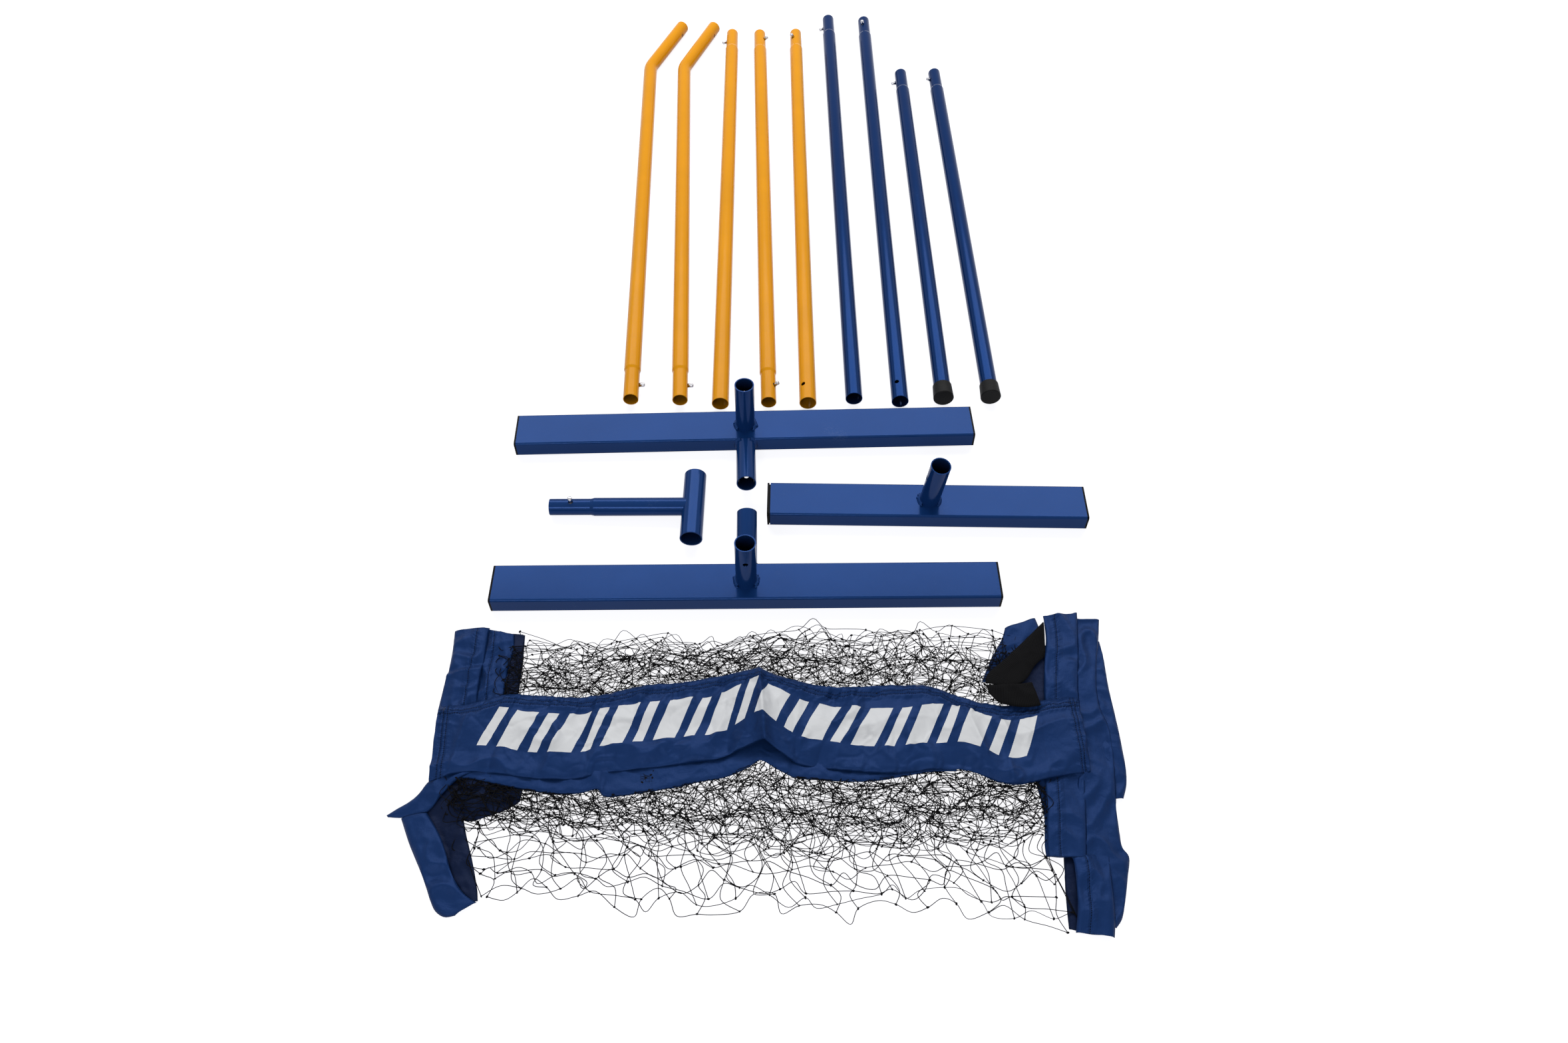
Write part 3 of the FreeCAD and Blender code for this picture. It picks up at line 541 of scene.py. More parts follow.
def through(points, position):
    """Point on the smooth line through the points, at a position counted in points."""
    last = len(points) - 1
    start = min(max(int(position), 0), last - 1)
    t = position - start
    before, a, b, after = (Vector(points[min(max(k, 0), last)])
                           for k in (start - 1, start, start + 1, start + 2))
    return 0.5 * ((2.0 * a) + (b - before) * t + (2.0 * before - 5.0 * a + 4.0 * b - after) * t * t
                  + (3.0 * a - before - 3.0 * b + after) * t ** 3)


def run_marks(ribs):
    """Distance along the cloth's middle line at each rib, in millimetres."""
    marks = [0.0]
    middles = [(Vector(a) + Vector(b)) / 2.0 for a, b in ribs]
    for first, second in zip(middles, middles[1:]):
        marks.append(marks[-1] + (second - first).length)
    return marks


def cloth_piece(name, node, ribs, finish, relief, step, thickness=0.5):
    """Sheet through ribs, each a pair of edge points, lifted by a relief of run and width."""
    marks = run_marks(ribs)
    width = max((Vector(a) - Vector(b)).length for a, b in ribs)
    bm = bmesh.new()
    bmesh.ops.create_grid(bm, x_segments=max(int(marks[-1] / step), 4),
                          y_segments=max(int(width / step), 4), size=1.0)
    run_layer = bm.loops.layers.uv.new("run")
    rim_layer = bm.loops.layers.uv.new("rim")
    measured = {}
    for vert in bm.verts:
        along = (vert.co.x + 1.0) / 2.0 * marks[-1]
        across = (vert.co.y + 1.0) / 2.0
        start = min(max(bisect.bisect_right(marks, along) - 1, 0), len(ribs) - 2)
        position = start + (along - marks[start]) / max(marks[start + 1] - marks[start], 1e-6)
        a = through([rib[0] for rib in ribs], position)
        b = through([rib[1] for rib in ribs], position)
        place = a.lerp(b, across)
        span = (b - a).length
        place.z += relief(along, across, span, place)
        measured[vert.index] = (along * MM, across * span * MM, (1.0 - across) * span * MM)
        vert.co = place * MM
    for face in bm.faces:
        for loop in face.loops:
            along, near, far = measured[loop.vert.index]
            loop[run_layer].uv = (along, near)
            loop[rim_layer].uv = (far, along)
        face.smooth = True
    bmesh.ops.recalc_face_normals(bm, faces=bm.faces)
    if sum(face.normal.z for face in bm.faces) < 0:
        bmesh.ops.reverse_faces(bm, faces=bm.faces)
    area = sum(face.calc_area() for face in bm.faces)
    piece = add_piece(name, mesh_of(name, bm), finish, "net", node)
    wall = piece.modifiers.new("thickness", "SOLIDIFY")
    wall.thickness = thickness * MM
    wall.offset = 0.0


def crease_height(place, creases):
    """Sum of ridges and valleys, each (start, end, height, width), at a place on the floor plan."""
    total = 0.0
    for (xa, ya), (xb, yb), height, width in creases:
        run = Vector((xb - xa, yb - ya))
        off = Vector((place.x - xa, place.y - ya))
        t = off.dot(run) / run.length_squared
        beyond = max(-t, t - 1.0, 0.0) * run.length
        nearest = run * min(max(t, 0.0), 1.0)
        side = (off - nearest).length
        total += height * math.exp(-side / width) * math.exp(-beyond / width)
    return total


def crumple(place, seed, size):
    """Net of thin creases, 1 on a crease and 0 away from it."""
    spot = Vector((place.x / size, place.y / size, seed * 2.9))
    bent = spot + noise.noise_vector(spot * 0.7) * 0.5
    ridge = 1.0 - min(abs(noise.noise(bent)) / 0.16, 1.0)
    patch = min(max(noise.noise(spot * 0.45 + Vector((9.0, 4.0, 0.0))) * 2.5 + 0.45, 0.0), 1.0)
    return ridge * patch


def ripples(seed, long_wave, height, fine=0.0, creases=(), creased=0.7):
    """Relief of soft folds of a wave length and a height, with fine puckers and creases on top."""
    offset = Vector((seed * 7.31, seed * 3.17, seed * 1.73))

    def relief(along, across, span, place):
        spot = Vector((along / long_wave, across * span / long_wave, 0.0)) + offset
        spot += noise.noise_vector(spot * 0.8) * 0.4
        soft = (0.5 - abs(noise.noise(spot) * 1.6)) * height
        small = noise.noise(spot * 5.3 + offset) * fine
        edge = min(across, 1.0 - across) * span
        roll = 1.2 * (1.0 - min(edge / 3.0, 1.0)) ** 2
        sharp = creased * (crumple(place, seed, 24.0) - 0.8 * crumple(place, seed + 5, 31.0))
        return soft * min(edge / 6.0, 1.0) + small - roll + sharp + crease_height(place, creases)
    return relief


BAND_CREASES = (
    ((-372, -776), (-362, -700), 3.0, 5.0), ((-330, -772), (-322, -735), -2.4, 6.0),
    ((-262, -770), (-250, -720), 2.8, 6.0), ((-216, -668), (-240, -705), 2.6, 4.0),
    ((-190, -768), (-196, -710), -2.8, 5.0), ((-150, -655), (-158, -690), 2.0, 4.0),
    ((-92, -650), (-88, -752), 2.2, 7.0), ((-54, -645), (-46, -745), -2.8, 7.0),
    ((44, -650), (30, -750), 2.0, 6.0), ((112, -765), (122, -700), 2.2, 6.0),
    ((196, -655), (206, -700), 2.6, 4.0), ((236, -668), (262, -742), 3.2, 5.0),
    ((289, -775), (286, -700), 3.4, 5.0), ((330, -670), (336, -760), -2.2, 6.0),
)
BACK_CREASES = (((-191, -800), (-189, -768), 3.0, 3.0), ((-300, -790), (-286, -770), 1.6, 4.0),
                ((-120, -790), (-112, -770), 1.6, 4.0), ((60, -778), (70, -760), 1.4, 4.0))
OUTER_CREASES = (((-401, -641), (-358, -630), 3.4, 4.0), ((-401, -634), (-358, -621), -2.4, 4.0),
                 ((-390, -580), (-376, -622), 1.6, 4.0))
INNER_CREASES = (((-350, -592), (-326, -586), 2.2, 3.0), ((-352, -634), (-326, -627), 2.2, 3.0),
                 ((-326, -597), (-325, -656), -1.6, 3.0))


def band_relief(along, across, span, place):
    """Front ply: soft folds, one standing crest and puckers along the stitched hem."""
    base = ripples(3, 46.0, 6.5, 0.4, BAND_CREASES, 1.4)(along, across, span, place)
    from_hem = (1.0 - across) * span
    leaning = along + 0.5 * from_hem
    pucker = noise.noise(Vector((leaning / 4.6, from_hem / 16.0, 1.0))) * 2.4
    pucker += noise.noise(Vector((leaning / 10.0, from_hem / 30.0, 4.0))) * 2.4
    near_hem = math.exp(-((from_hem - 10.0) / 10.0) ** 2)
    wave = noise.noise(Vector((along / 20.0, from_hem / 42.0, 7.0))) * 2.4
    middle = math.sin(math.pi * across)
    belly = 3.0 * middle * (1.0 + noise.noise(Vector((along / 90.0, 2.0, 8.0))))
    crest = 11.0 * math.exp(-abs(along - CREST_AT) / 6.0)
    crest += 4.0 * math.exp(-((along - CREST_AT - 2.0) / 34.0) ** 2)
    return base + pucker * near_hem + wave + belly + crest * (0.75 + 0.25 * middle)


def make_band(materials):
    """Front and back ply, each between its lower and its upper edge."""
    lower = [(-393, -784, 11), (-368, -774, 10), (-346, -770, 10), (-318, -771, 10), (-282, -777, 10),
             (-225, -778, 10), (-191, -770, 10), (-144, -763, 10), (-105, -758, 10), (-61, -752, 11),
             (-33, -742, 16), (-7, -734, 21), (16, -744, 17), (36, -756, 11), (60, -760, 10),
             (92, -764, 10), (153, -767, 10), (194, -762, 10), (237, -762, 10), (265, -773, 10),
             (289, -780, 10), (314, -776, 11), (350, -768, 11), (382, -763, 11)]
    upper = [(-400, -683, 11), (-375, -683, 12), (-350, -678, 13), (-318, -668, 13), (-285, -669, 13),
             (-228, -671, 13), (-195, -665, 13), (-153, -654, 13), (-109, -650, 14), (-66, -642, 15),
             (-40, -638, 18), (-15, -637, 23), (8, -640, 18), (37, -646, 14), (65, -652, 13),
             (105, -653, 13), (159, -650, 13), (200, -651, 13), (236, -665, 12), (263, -672, 11),
             (289, -676, 11), (315, -674, 11), (345, -667, 11), (381, -664, 11)]
    cloth_piece("band_front", "band_front_ply", list(zip(lower, upper)), materials["navy_band"],
                band_relief, 1.8, 0.6)
    lower = [(-372, -780, 6), (-349, -777, 7), (-327, -781, 7), (-300, -787, 7), (-268, -793, 7),
             (-242, -796, 7), (-217, -795, 8), (-197, -790, 9), (-191, -796, 7), (-184, -799, 7),
             (-154, -795, 7), (-110, -787, 7), (-79, -779, 7), (-48, -773, 8), (-22, -761, 9),
             (-7, -752, 11), (12, -762, 9), (26, -769, 8), (37, -773, 7), (78, -776, 7),
             (121, -776, 7), (153, -771, 7), (194, -763, 7), (225, -762, 7)]
    upper = [(x, -700, z) for x, y, z in lower]
    cloth_piece("band_back", "band_back_ply", list(zip(lower, upper)), materials["navy_cloth"],
                ripples(11, 40.0, 2.6, 0.3, BACK_CREASES), 2.4, 0.6)


def make_left_sleeve(materials):
    """Plies of the left sleeve's lengths: upper, fold and lower."""
    def ply(part, length, ribs, finish, relief, step):
        cloth_piece("sleeve_left_" + part, "sleeve_left_" + length, ribs, materials[finish], relief,
                    step)

    outer = [((-403, -573, 6), (-359, -568, 7)), ((-400, -600, 8), (-358, -600, 8)),
             ((-399, -627, 9), (-358, -628, 9)), ((-401, -654, 8), (-358, -655, 8)),
             ((-402, -694, 7), (-356, -694, 7))]
    ply("upper_outer", "upper", outer, "navy_hemmed", ripples(21, 30.0, 6.0, 0.5, OUTER_CREASES), 2.2)
    inner = [((-366, -569, 4), (-326, -577, 5)), ((-364, -600, 4), (-324, -598, 5)),
             ((-364, -630, 4), (-326, -630, 5)), ((-362, -660, 4), (-326, -660, 5)),
             ((-362, -694, 4), (-326, -694, 5))]
    ply("upper_inner", "upper", inner, "navy_hemmed_left", ripples(22, 26.0, 5.0, 0.5, INNER_CREASES),
        2.2)
    # Inner ply in the darker navy copy: painted shade
    inside = [((-336, -574, 2), (-313, -576, 3)), ((-334, -600, 2), (-311, -600, 3)),
              ((-334, -630, 2), (-309, -630, 3)), ((-334, -694, 2), (-308, -694, 3))]
    ply("upper_inside", "upper", inside, "navy_painted_shade", ripples(23, 26.0, 2.4, 0.5), 3.0)
    flap = [((-436, -822, 3), (-434, -824, 3)), ((-424, -814, 5), (-416, -825, 4)),
            ((-411, -806, 7), (-396, -822, 5)), ((-402, -796, 8), (-386, -815, 6)),
            ((-396, -785, 9), (-376, -798, 8)), ((-386, -774, 9), (-362, -780, 9)),
            ((-370, -762, 9), (-346, -770, 9))]
    ply("flap", "fold", flap, "navy_cloth", ripples(24, 22.0, 4.0, 0.4), 2.4)
    # Inner ply in the darker navy copy: painted shade
    shaded = [((-386, -806, 3), (-372, -770, 4)), ((-366, -816, 3), (-356, -770, 4)),
              ((-341, -828, 3), (-336, -770, 4)), ((-325, -824, 3), (-318, -770, 4)),
              ((-300, -814, 3), (-298, -775, 4)), ((-285, -803, 3), (-283, -780, 4))]
    ply("fold_inside", "fold", shaded, "navy_painted_shade", ripples(25, 24.0, 3.0, 0.6), 3.0)
    face = [((-418, -826, 4), (-389, -820, 6)), ((-404, -853, 5), (-374, -840, 7)),
            ((-394, -870, 5), (-366, -852, 8)), ((-383, -888, 5), (-359, -866, 8)),
            ((-372, -908, 5), (-349, -888, 7)), ((-366, -920, 4), (-340, -902, 7)),
            ((-358, -932, 4), (-330, -913, 6)), ((-347, -938, 3), (-321, -919, 5)),
            ((-336, -936, 3), (-315, -922, 4))]
    ply("lower_face", "lower", face, "navy_cloth", ripples(26, 34.0, 6.0, 0.4), 2.4)
    # Inner ply in the darker navy copy: painted shade
    back = [((-400, -806, 2), (-364, -780, 3)), ((-392, -822, 2), (-358, -796, 3)),
            ((-377, -842, 2), (-350, -815, 3)), ((-362, -865, 2), (-342, -840, 3)),
            ((-352, -889, 2), (-328, -875, 3)), ((-336, -912, 2), (-318, -904, 3)),
            ((-322, -923, 2), (-314, -920, 3))]
    ply("lower_inside", "lower", back, "navy_painted_shade", ripples(27, 26.0, 3.0, 0.6), 3.0)


def make_right_sleeve(materials):
    """Plies of the right sleeve's lengths: upper, lower and hem."""
    def ply(part, length, ribs, finish, relief, step):
        cloth_piece("sleeve_right_" + part, "sleeve_right_" + length, ribs, materials[finish], relief,
                    step)

    first = [((356, -542, 8), (401, -536, 8)), ((355, -576, 9), (396, -580, 9)),
             ((349, -610, 9), (391, -612, 10)), ((343, -650, 8), (385, -652, 9)),
             ((340, -690, 7), (383, -690, 8))]
    ply("upper_first", "upper", first, "navy_hemmed_left", ripples(31, 32.0, 5.0, 0.4), 2.6)
    second = [((386, -545, 5), (429, -545, 5)), ((384, -580, 6), (422, -579, 7)),
              ((380, -610, 6), (414, -612, 8)), ((376, -650, 6), (408, -650, 9)),
              ((374, -680, 6), (408, -678, 9)), ((372, -710, 6), (414, -704, 9)),
              ((370, -744, 6), (413, -746, 8)), ((366, -775, 6), (408, -792, 7)),
              ((362, -800, 5), (406, -806, 6)), ((356, -830, 5), (405, -836, 5)),
              ((354, -850, 5), (405, -852, 5)), ((354, -863, 5), (411, -864, 4)),
              ((378, -887, 4), (405, -888, 4)), ((380, -915, 4), (397, -916, 4)),
              ((378, -932, 3), (391, -933, 3)), ((376, -942, 3), (383, -943, 3))]
    ply("long", "upper", second, "navy_cloth", ripples(32, 34.0, 6.0, 0.5), 2.6)
    bulge = [((420, -578, 3), (424, -578, 4)), ((410, -602, 3), (425, -602, 5)),
             ((400, -640, 3), (424, -645, 6)), ((398, -675, 3), (425, -682, 7)),
             ((400, -710, 3), (426, -716, 7)), ((402, -744, 3), (426, -756, 6)),
             ((404, -780, 3), (423, -777, 5)), ((405, -794, 3), (417, -793, 4))]
    ply("bulge", "upper", bulge, "navy_cloth", ripples(33, 24.0, 4.5, 0.4), 2.4)
    backing = [((306, -557, 2), (346, -543, 4)), ((300, -574, 2), (350, -570, 4)),
               ((288, -595, 2), (335, -600, 4)), ((276, -619, 2), (318, -625, 4)),
               ((268, -638, 2), (300, -645, 4))]
    ply("backing", "upper", backing, "navy_cloth", ripples(34, 26.0, 3.0, 0.5), 2.8)
    # Hollow ply in the darker navy copy: painted shade
    hollow = [((330, -586, 2), (356, -584, 3)), ((318, -618, 2), (353, -617, 3)),
              ((308, -643, 2), (350, -642, 3)), ((316, -668, 2), (348, -668, 3))]
    ply("hollow", "upper", hollow, "navy_painted_shade", ripples(39, 26.0, 1.6, 0.4), 3.0)
    under = [((317, -768, 3), (372, -764, 4)), ((320, -792, 3), (369, -792, 4)),
             ((322, -814, 3), (366, -822, 4)), ((318, -850, 3), (363, -850, 4)),
             ((318, -864, 3), (361, -865, 4))]
    ply("lower_under", "lower", under, "navy_cloth", ripples(35, 30.0, 3.0, 0.3), 3.0)
    front = [((329, -760, 7), (376, -760, 8)), ((326, -792, 8), (372, -792, 8)),
             ((323, -822, 9), (368, -824, 9)), ((320, -846, 8), (365, -848, 8)),
             ((319, -865, 7), (362, -866, 7))]
    ply("lower_front", "lower", front, "navy_hemmed_left", ripples(36, 32.0, 4.5, 0.4), 2.6)
    face = [((345, -864, 6), (388, -862, 7)), ((347, -873, 8), (387, -872, 8)),
            ((345, -908, 9), (385, -902, 9)), ((342, -930, 8), (383, -930, 8)),
            ((338, -949, 5), (379, -954, 5))]
    ply("hem_face", "hem", face, "navy_hemmed_left", ripples(37, 30.0, 5.0, 0.4), 2.4)
    # Inner ply of the hem in the darker navy copy: painted shade
    mouth = [((338, -862, 1), (362, -862, 2)), ((335, -893, 1), (360, -893, 2)),
             ((333, -920, 1), (358, -922, 2)), ((332, -944, 1), (350, -949, 2))]
    ply("hem_inside", "hem", mouth, "navy_painted_shade", ripples(38, 28.0, 0.4), 3.0)


def make_strap(materials):
    """Webbing strap: its long run, and the short end that is folded over."""
    first = [((356, -550, 6), (351, -602, 7)), ((330, -578, 9), (335, -618, 10)),
             ((299, -609, 11), (322, -638, 12)), ((275, -632, 13), (308, -649, 13)),
             ((270, -646, 13), (294, -651, 13))]
    cloth_piece("strap_long", "webbing_strap", first, materials["black_webbing"],
                ripples(41, 40.0, 2.4), 2.6, 1.4)
    second = [((272, -659, 15), (270, -650, 15)), ((281, -672, 16), (283, -650, 16)),
              ((295, -678, 16), (298, -649, 17)), ((316, -680, 16), (312, -648, 16)),
              ((334, -677, 15), (327, -645, 15))]
    cloth_piece("strap_short", "webbing_strap", second, materials["black_webbing"],
                ripples(42, 40.0, 2.4), 2.6, 1.4)


# Netting


class TwineNet:
    """Layers of knotted netting that lie in slack loops, made as splines of one curve."""

    def __init__(self, name, node, seed, radius, ceiling):
        self.name = name
        self.node = node
        self.random = random.Random(seed)
        self.ceiling = ceiling
        self.curve = bpy.data.curves.new(name, "CURVE")
        self.curve.dimensions = "3D"
        self.curve.bevel_depth = radius * MM
        self.curve.bevel_resolution = 0
        self.knots = []
        self.side = 1.0

    def bow(self, start, end):
        """Point at the belly of a slack side between its knots."""
        run = end - start
        reach = max(run.length, 1.0)
        slack = max(MESH_SIDE / reach - 1.0, 0.0)
        depth = min(0.7 * math.sqrt(slack), 0.6) * reach * self.random.uniform(0.45, 1.1)
        if self.random.random() < 0.8:
            self.side = -self.side
        aside = Vector((-run.y, run.x, 0.0)).normalized() * self.side
        lift = Vector((0.0, 0.0, self.random.uniform(0.0, 2.5)))
        return start.lerp(end, self.random.uniform(0.38, 0.62)) + aside * depth + lift

    def thread(self, stops, parts):
        """One smooth length of twine through its knots."""
        marks = [stops[0]]
        for stop in stops[1:]:
            marks += [self.bow(marks[-1], stop), stop]
        count = (len(marks) - 1) * parts
        spline = self.curve.splines.new("POLY")
        spline.points.add(count)
        for number, target in enumerate(spline.points):
            point = through(marks, number / parts)
            height = min(max(point.z, 0.7), self.ceiling(point.x, point.y))
            target.co = (point.x * MM, point.y * MM, height * MM, 1.0)

    def layer(self, sides, levels, columns, height, jitter, parts):
        """One layer of meshes: sides and levels are functions that bound its columns and rows."""
        left, right = sides
        shift = self.random.uniform(-0.5, 0.5)
        start, end = self.random.uniform(-0.01, 0.03), self.random.uniform(-0.02, 0.02)
        grid = []
        for level in levels:
            line = []
            for column in range(columns + 1):
                inner = 0 < column < columns
                share = (column + (shift if inner else 0.0)) / columns
                share = start + (1.0 - start - end) * share
                across = left(level(0.0)) * (1.0 - share) + right(level(0.0)) * share
                x = across + self.random.uniform(-jitter, jitter) * (1.0 if inner else 0.7)
                y = level(x) + self.random.uniform(-jitter, jitter) * 0.8
                z = height + self.random.uniform(-0.8, 0.8)
                line.append(Vector((x, y, z)))
            grid.append(line)
            self.knots.extend(line)
        for line in grid + [list(rank) for rank in zip(*grid)]:
            self.thread(line, parts)

    def finish(self, material):
        """Twine and knots as two pieces."""
        holder = add_object(self.name + "_line", self.curve)
        bpy.context.view_layer.update()
        solid = holder.evaluated_get(bpy.context.evaluated_depsgraph_get())
        mesh = bpy.data.meshes.new_from_object(solid)
        bpy.data.objects.remove(holder)
        for polygon in mesh.polygons:
            polygon.use_smooth = True
        add_piece(self.name, mesh, material, "net", self.node)
        bm = bmesh.new()
        for knot in self.knots:
            size = self.random.uniform(*KNOT_SIZES) * MM
            turn = Matrix.Rotation(self.random.uniform(0.0, 3.1), 4, "Z")
            height = min(max(knot.z, 1.2), self.ceiling(knot.x, knot.y))
            place = Matrix.Translation((knot.x * MM, knot.y * MM, height * MM))
            bmesh.ops.create_icosphere(bm, subdivisions=1, radius=size,
                                       matrix=place @ turn @ Matrix.Diagonal(KNOT_SHAPE))
        add_piece(self.name + "_knots", mesh_of(self.name + "_knots", bm), material,
                  "net", self.node)


def height_line(points):
    """y of an outline at x, straight between its points."""
    xs = [x for x, y in points]

    def level(x):
        place = min(max(bisect.bisect_right(xs, x) - 1, 0), len(points) - 2)
        (xa, ya), (xb, yb) = points[place], points[place + 1]
        t = min(max((x - xa) / (xb - xa), -0.1), 1.1)
        return ya + (yb - ya) * t
    return level


def between_lines(top, bottom, share):
    return lambda x: top(x) + (bottom(x) - top(x)) * share


def make_netting(materials):
    """Gathered layers above and below the band, and the loose layers in front."""
    top = height_line([(-350, -566), (-313, -580), (-264, -584), (-229, -588), (-178, -572),
                       (-125, -574), (-72, -590), (-38, -573), (-10, -563), (38, -558),
                       (114, -567), (178, -556), (242, -555), (306, -557)])
    hem = height_line([(-350, -690), (-100, -660), (-15, -650), (70, -660), (306, -690)])
    left = height_line([(-700, -316), (-640, -322), (-600, -330), (-550, -340)])
    right = height_line([(-700, 268), (-640, 276), (-600, 296), (-550, 308)])
    upper = TwineNet("twine_upper", "netting_upper", 5, TWINE_RADIUS,
                     lambda x, y: UNDER_FRONT_PLY if y < hem(x) + 6.0 else OPEN_HEIGHT)
    tops = (0.0, 0.08, 0.12, 0.18, 0.26, 0.1, 0.22, 0.3, 0.36, 0.2, 0.34, 0.42, 0.4, 0.5)
    for number, first in enumerate(tops):
        rows = [first + (1.02 - first) * share for share in (0.0, 0.33, 0.66, 1.0)]
        levels = [between_lines(top, hem, share + upper.random.uniform(-0.05, 0.05)) for share in rows]
        upper.layer((left, right), levels, columns=15 + number % 3, height=1.2 + 0.55 * number,
                    jitter=12.0, parts=4)
    upper.finish(materials["black_twine"])

    band_edge = height_line([(-350, -776), (-268, -790), (-184, -796), (-110, -784), (-48, -770),
                             (-7, -749), (37, -770), (121, -773), (194, -761), (265, -774),
                             (289, -780), (335, -770)])
    start = height_line([(-350, -755), (-100, -748), (-7, -735), (80, -748), (335, -750)])
    edge = height_line([(-314, -921), (-290, -916), (-253, -908), (-210, -914), (-173, -919),
                        (-99, -922), (-51, -928), (-12, -920), (12, -916), (59, -929), (100, -922),
                        (141, -916), (209, -914), (237, -929), (278, -941), (335, -945)])
    dense = height_line([(-345, -826), (-275, -832), (-201, -838), (-138, -838), (-76, -848),
                         (38, -852), (104, -850), (161, -844), (274, -840), (324, -828)])
    left = height_line([(-960, -312), (-922, -313), (-910, -317), (-874, -333), (-839, -351),
                        (-800, -370), (-760, -366), (-700, -349)])
    right = height_line([(-960, 333), (-893, 336), (-864, 322), (-813, 324), (-772, 318),
                         (-700, 318)])
    lower = TwineNet("twine_lower", "netting_lower", 8, TWINE_RADIUS,
                     lambda x, y: UNDER_BACK_PLY if y > band_edge(x) - 2.0 else OPEN_HEIGHT)
    for number in range(LOWER_LAYERS):
        first = lower.random.uniform(0.0, 0.14)
        last = lower.random.uniform(0.66, 1.06)
        levels = [between_lines(start, dense, first + (last - first) * share)
                  for share in (0.0, 0.33, 0.66, 1.0)]
        lower.layer((left, right), levels, columns=17 + number % 3, height=1.3 + 0.6 * number,
                    jitter=12.0, parts=4)
    lower.finish(materials["black_twine"])
    loose = TwineNet("twine_loose", "netting_lower", 13, LOOSE_TWINE_RADIUS,
                     lambda x, y: UNDER_FRONT_PLY)
    for number, rows in enumerate(((0.42, 0.62, 0.82, 1.0), (0.5, 0.72, 0.95), (0.46, 0.66, 0.9),
                                   (0.44, 0.6, 0.78))):
        levels = [between_lines(start, edge, share) for share in rows]
        loose.layer((left, right), levels, columns=18 - number, height=1.0 + 0.8 * number,
                    jitter=9.0, parts=6)
    loose.finish(materials["black_twine"])


# Metal pieces


def make_weld_drops(materials):
    """Lumps of weld metal at both sides of each upright's root, under the coat."""
    dice = random.Random(17)
    for foot in ("rear_foot", "front_foot", "middle_foot"):
        bar_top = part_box(foot + "_bar")[1][2]
        root = [vert.co for vert in frame["nodes"][foot + "_upright"].data.vertices
                if vert.co.z < bar_top + 0.0015]
        middle = [(min(spot[k] for spot in root) + max(spot[k] for spot in root)) / 2.0 for k in (0, 1)]
        reach = (max(spot[0] for spot in root) - min(spot[0] for spot in root)) / 2.0
        bm = bmesh.new()
        for side in (0.0, math.pi):
            for number in range(DROPS_PER_SIDE):
                angle = side + math.radians(-42.0 + 14.0 * number) + dice.uniform(-0.08, 0.08)
                out = reach - 0.0022 + dice.uniform(-0.0006, 0.0010)
                place = Matrix.Translation((middle[0] + out * math.cos(angle),
                                            middle[1] + out * math.sin(angle),
                                            bar_top + dice.uniform(0.0002, 0.0012)))
                stretch = Matrix.Diagonal((dice.uniform(0.8, 1.3), dice.uniform(0.8, 1.3),
                                           dice.uniform(0.6, 1.5), 1.0))
                bmesh.ops.create_icosphere(bm, subdivisions=2, radius=dice.uniform(0.0014, 0.0023),
                                           matrix=place @ stretch)
        for vert in bm.verts:
            vert.co += noise.noise_vector(vert.co * 900.0) * 0.0003
        for face in bm.faces:
            face.smooth = True
        add_piece(foot + "_weld_drops", mesh_of(foot + "_weld_drops", bm), materials["blue_coat"],
                  foot)


def press_joints():
    """Each snap button's joint, with the way that its pin points."""
    for joint in frame["joints"]:
        if joint["name"].startswith("press_"):
            yield joint, -Vector(joint["axis"]).normalized()


def middle_and_span(node, out):
    """Middle of a node, and its lowest and highest reach along a direction."""
    spots = [vert.co for vert in frame["nodes"][node].data.vertices]
    heights = [spot.dot(out) for spot in spots]
    centre = Vector([(min(spot[k] for spot in spots) + max(spot[k] for spot in spots)) / 2.0
                     for k in range(3)])
    return centre, min(heights), max(heights)


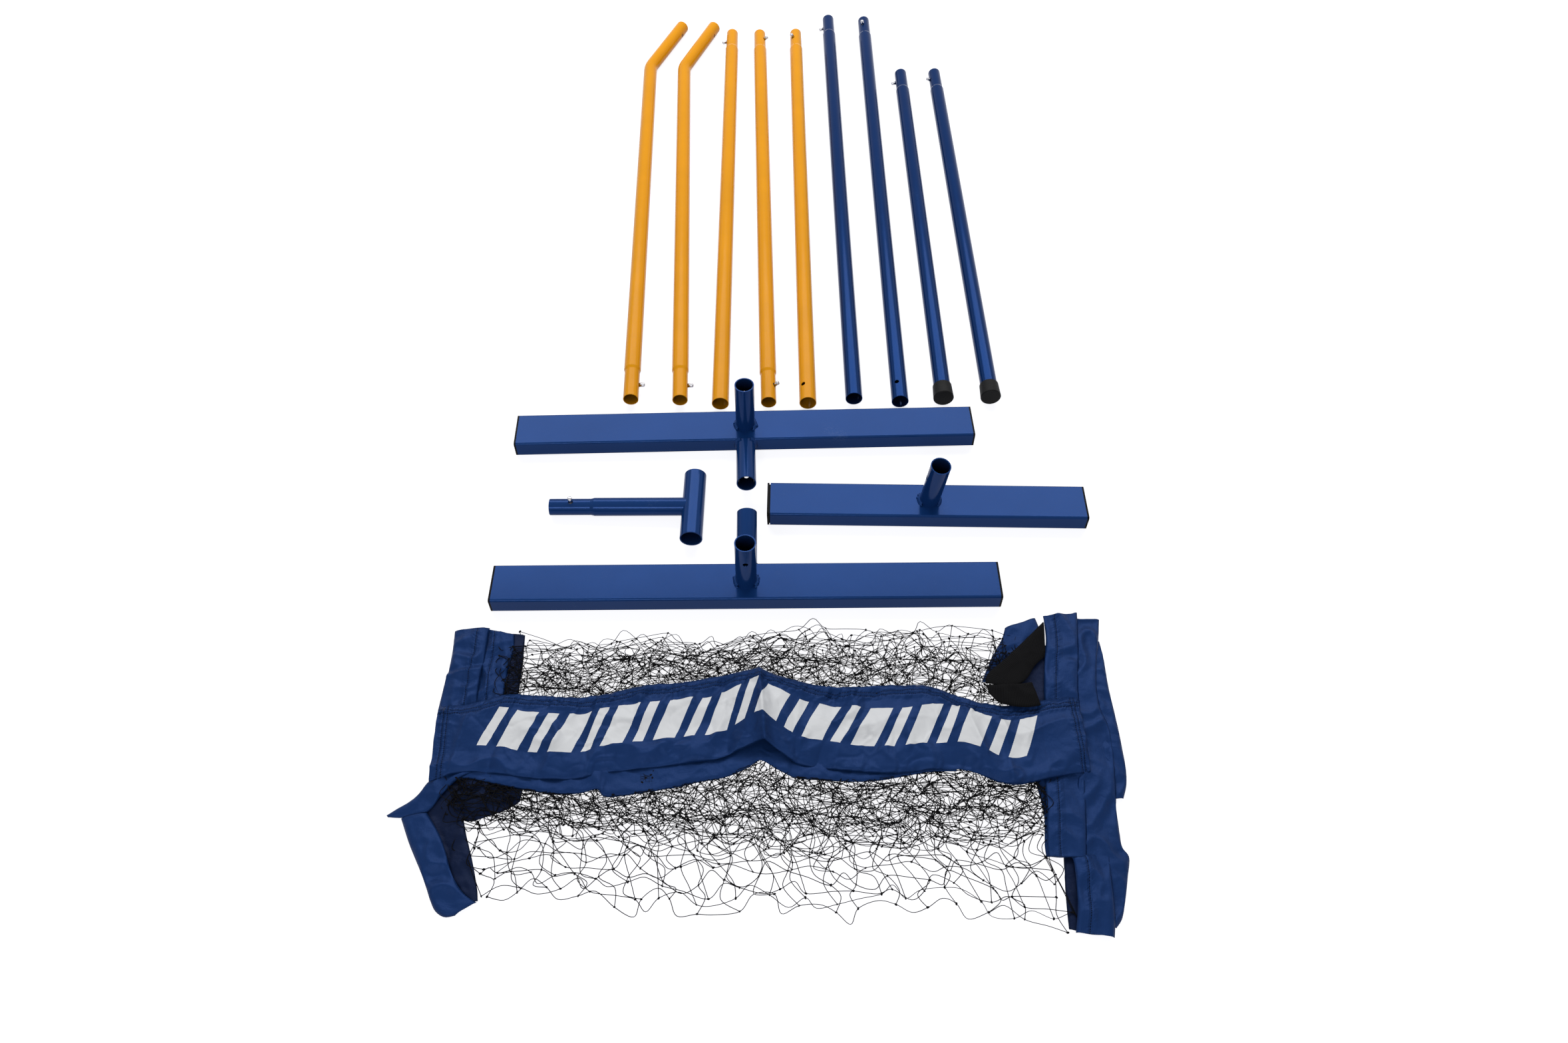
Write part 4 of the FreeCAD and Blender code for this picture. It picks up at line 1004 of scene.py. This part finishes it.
def make_springs(materials):
    """Leaf springs in spring steel, as copies of the spring nodes with their vertices merged."""
    for joint, out in press_joints():
        node = joint["child"].replace("button_", "spring_")
        bm = bmesh.new()
        bm.from_mesh(frame["nodes"][node].data)
        bmesh.ops.remove_doubles(bm, verts=bm.verts, dist=0.00001)
        leaf = add_piece(node + "_leaf", mesh_of(node + "_leaf", bm), materials["spring_steel"],
                         node=node)
        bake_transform(leaf)


def make_pins(materials):
    """Snap pins with a soft rounded end, in place of the plain buttons."""
    for joint, out in press_joints():
        body = joint["child"]
        centre, low, high = middle_and_span(body, out)
        length = high - low
        base = centre - out * (length / 2.0)
        bm = bmesh.new()
        end = [(share * PIN_RADIUS, 0.0, length - drop) for share, drop in PIN_END]
        verts = [bm.verts.new(spot) for spot in end + [(PIN_RADIUS, 0.0, 0.0), (0.0, 0.0, 0.0)]]
        edges = [bm.edges.new(pair) for pair in zip(verts, verts[1:])]
        bmesh.ops.spin(bm, geom=verts + edges, cent=(0.0, 0.0, 0.0), axis=(0.0, 0.0, 1.0),
                       angle=math.tau, steps=32, use_merge=True)
        bmesh.ops.remove_doubles(bm, verts=bm.verts, dist=0.000005)
        bmesh.ops.recalc_face_normals(bm, faces=bm.faces)
        for face in bm.faces:
            face.smooth = abs(face.normal.z) < 0.999 or face.calc_center_median().z > 0.0001
        turn = out.to_track_quat("Z", "Y").to_matrix().to_4x4()
        bmesh.ops.transform(bm, matrix=Matrix.Translation(base) @ turn, verts=bm.verts)
        add_piece(body + "_pin", mesh_of(body + "_pin", bm), materials["chromed_pin"],
                  body, body)


def dress_frame(materials):
    for subpart in frame["record"]["subparts"]:
        mesh = frame["nodes"][subpart["node"]].data
        finish = materials.get(subpart["material_slot"], materials["navy_cloth"])
        # The posts get the darker copy of the blue coat: painted shade
        if subpart["node"].startswith("post_pole"):
            finish = materials["blue_coat_shaded_posts"]
        mesh.materials.clear()
        mesh.materials.append(finish)


make_camera()
make_world()
make_floor()
for lamp in LAMPS:
    add_lamp(*lamp)
finishes = make_materials()
dress_frame(finishes)
noise.seed_set(NOISE_SEED)
make_band(finishes)
make_left_sleeve(finishes)
make_right_sleeve(finishes)
make_strap(finishes)
make_netting(finishes)
make_weld_drops(finishes)
make_springs(finishes)
make_pins(finishes)
bpy.context.scene.view_settings.view_transform = "Standard"
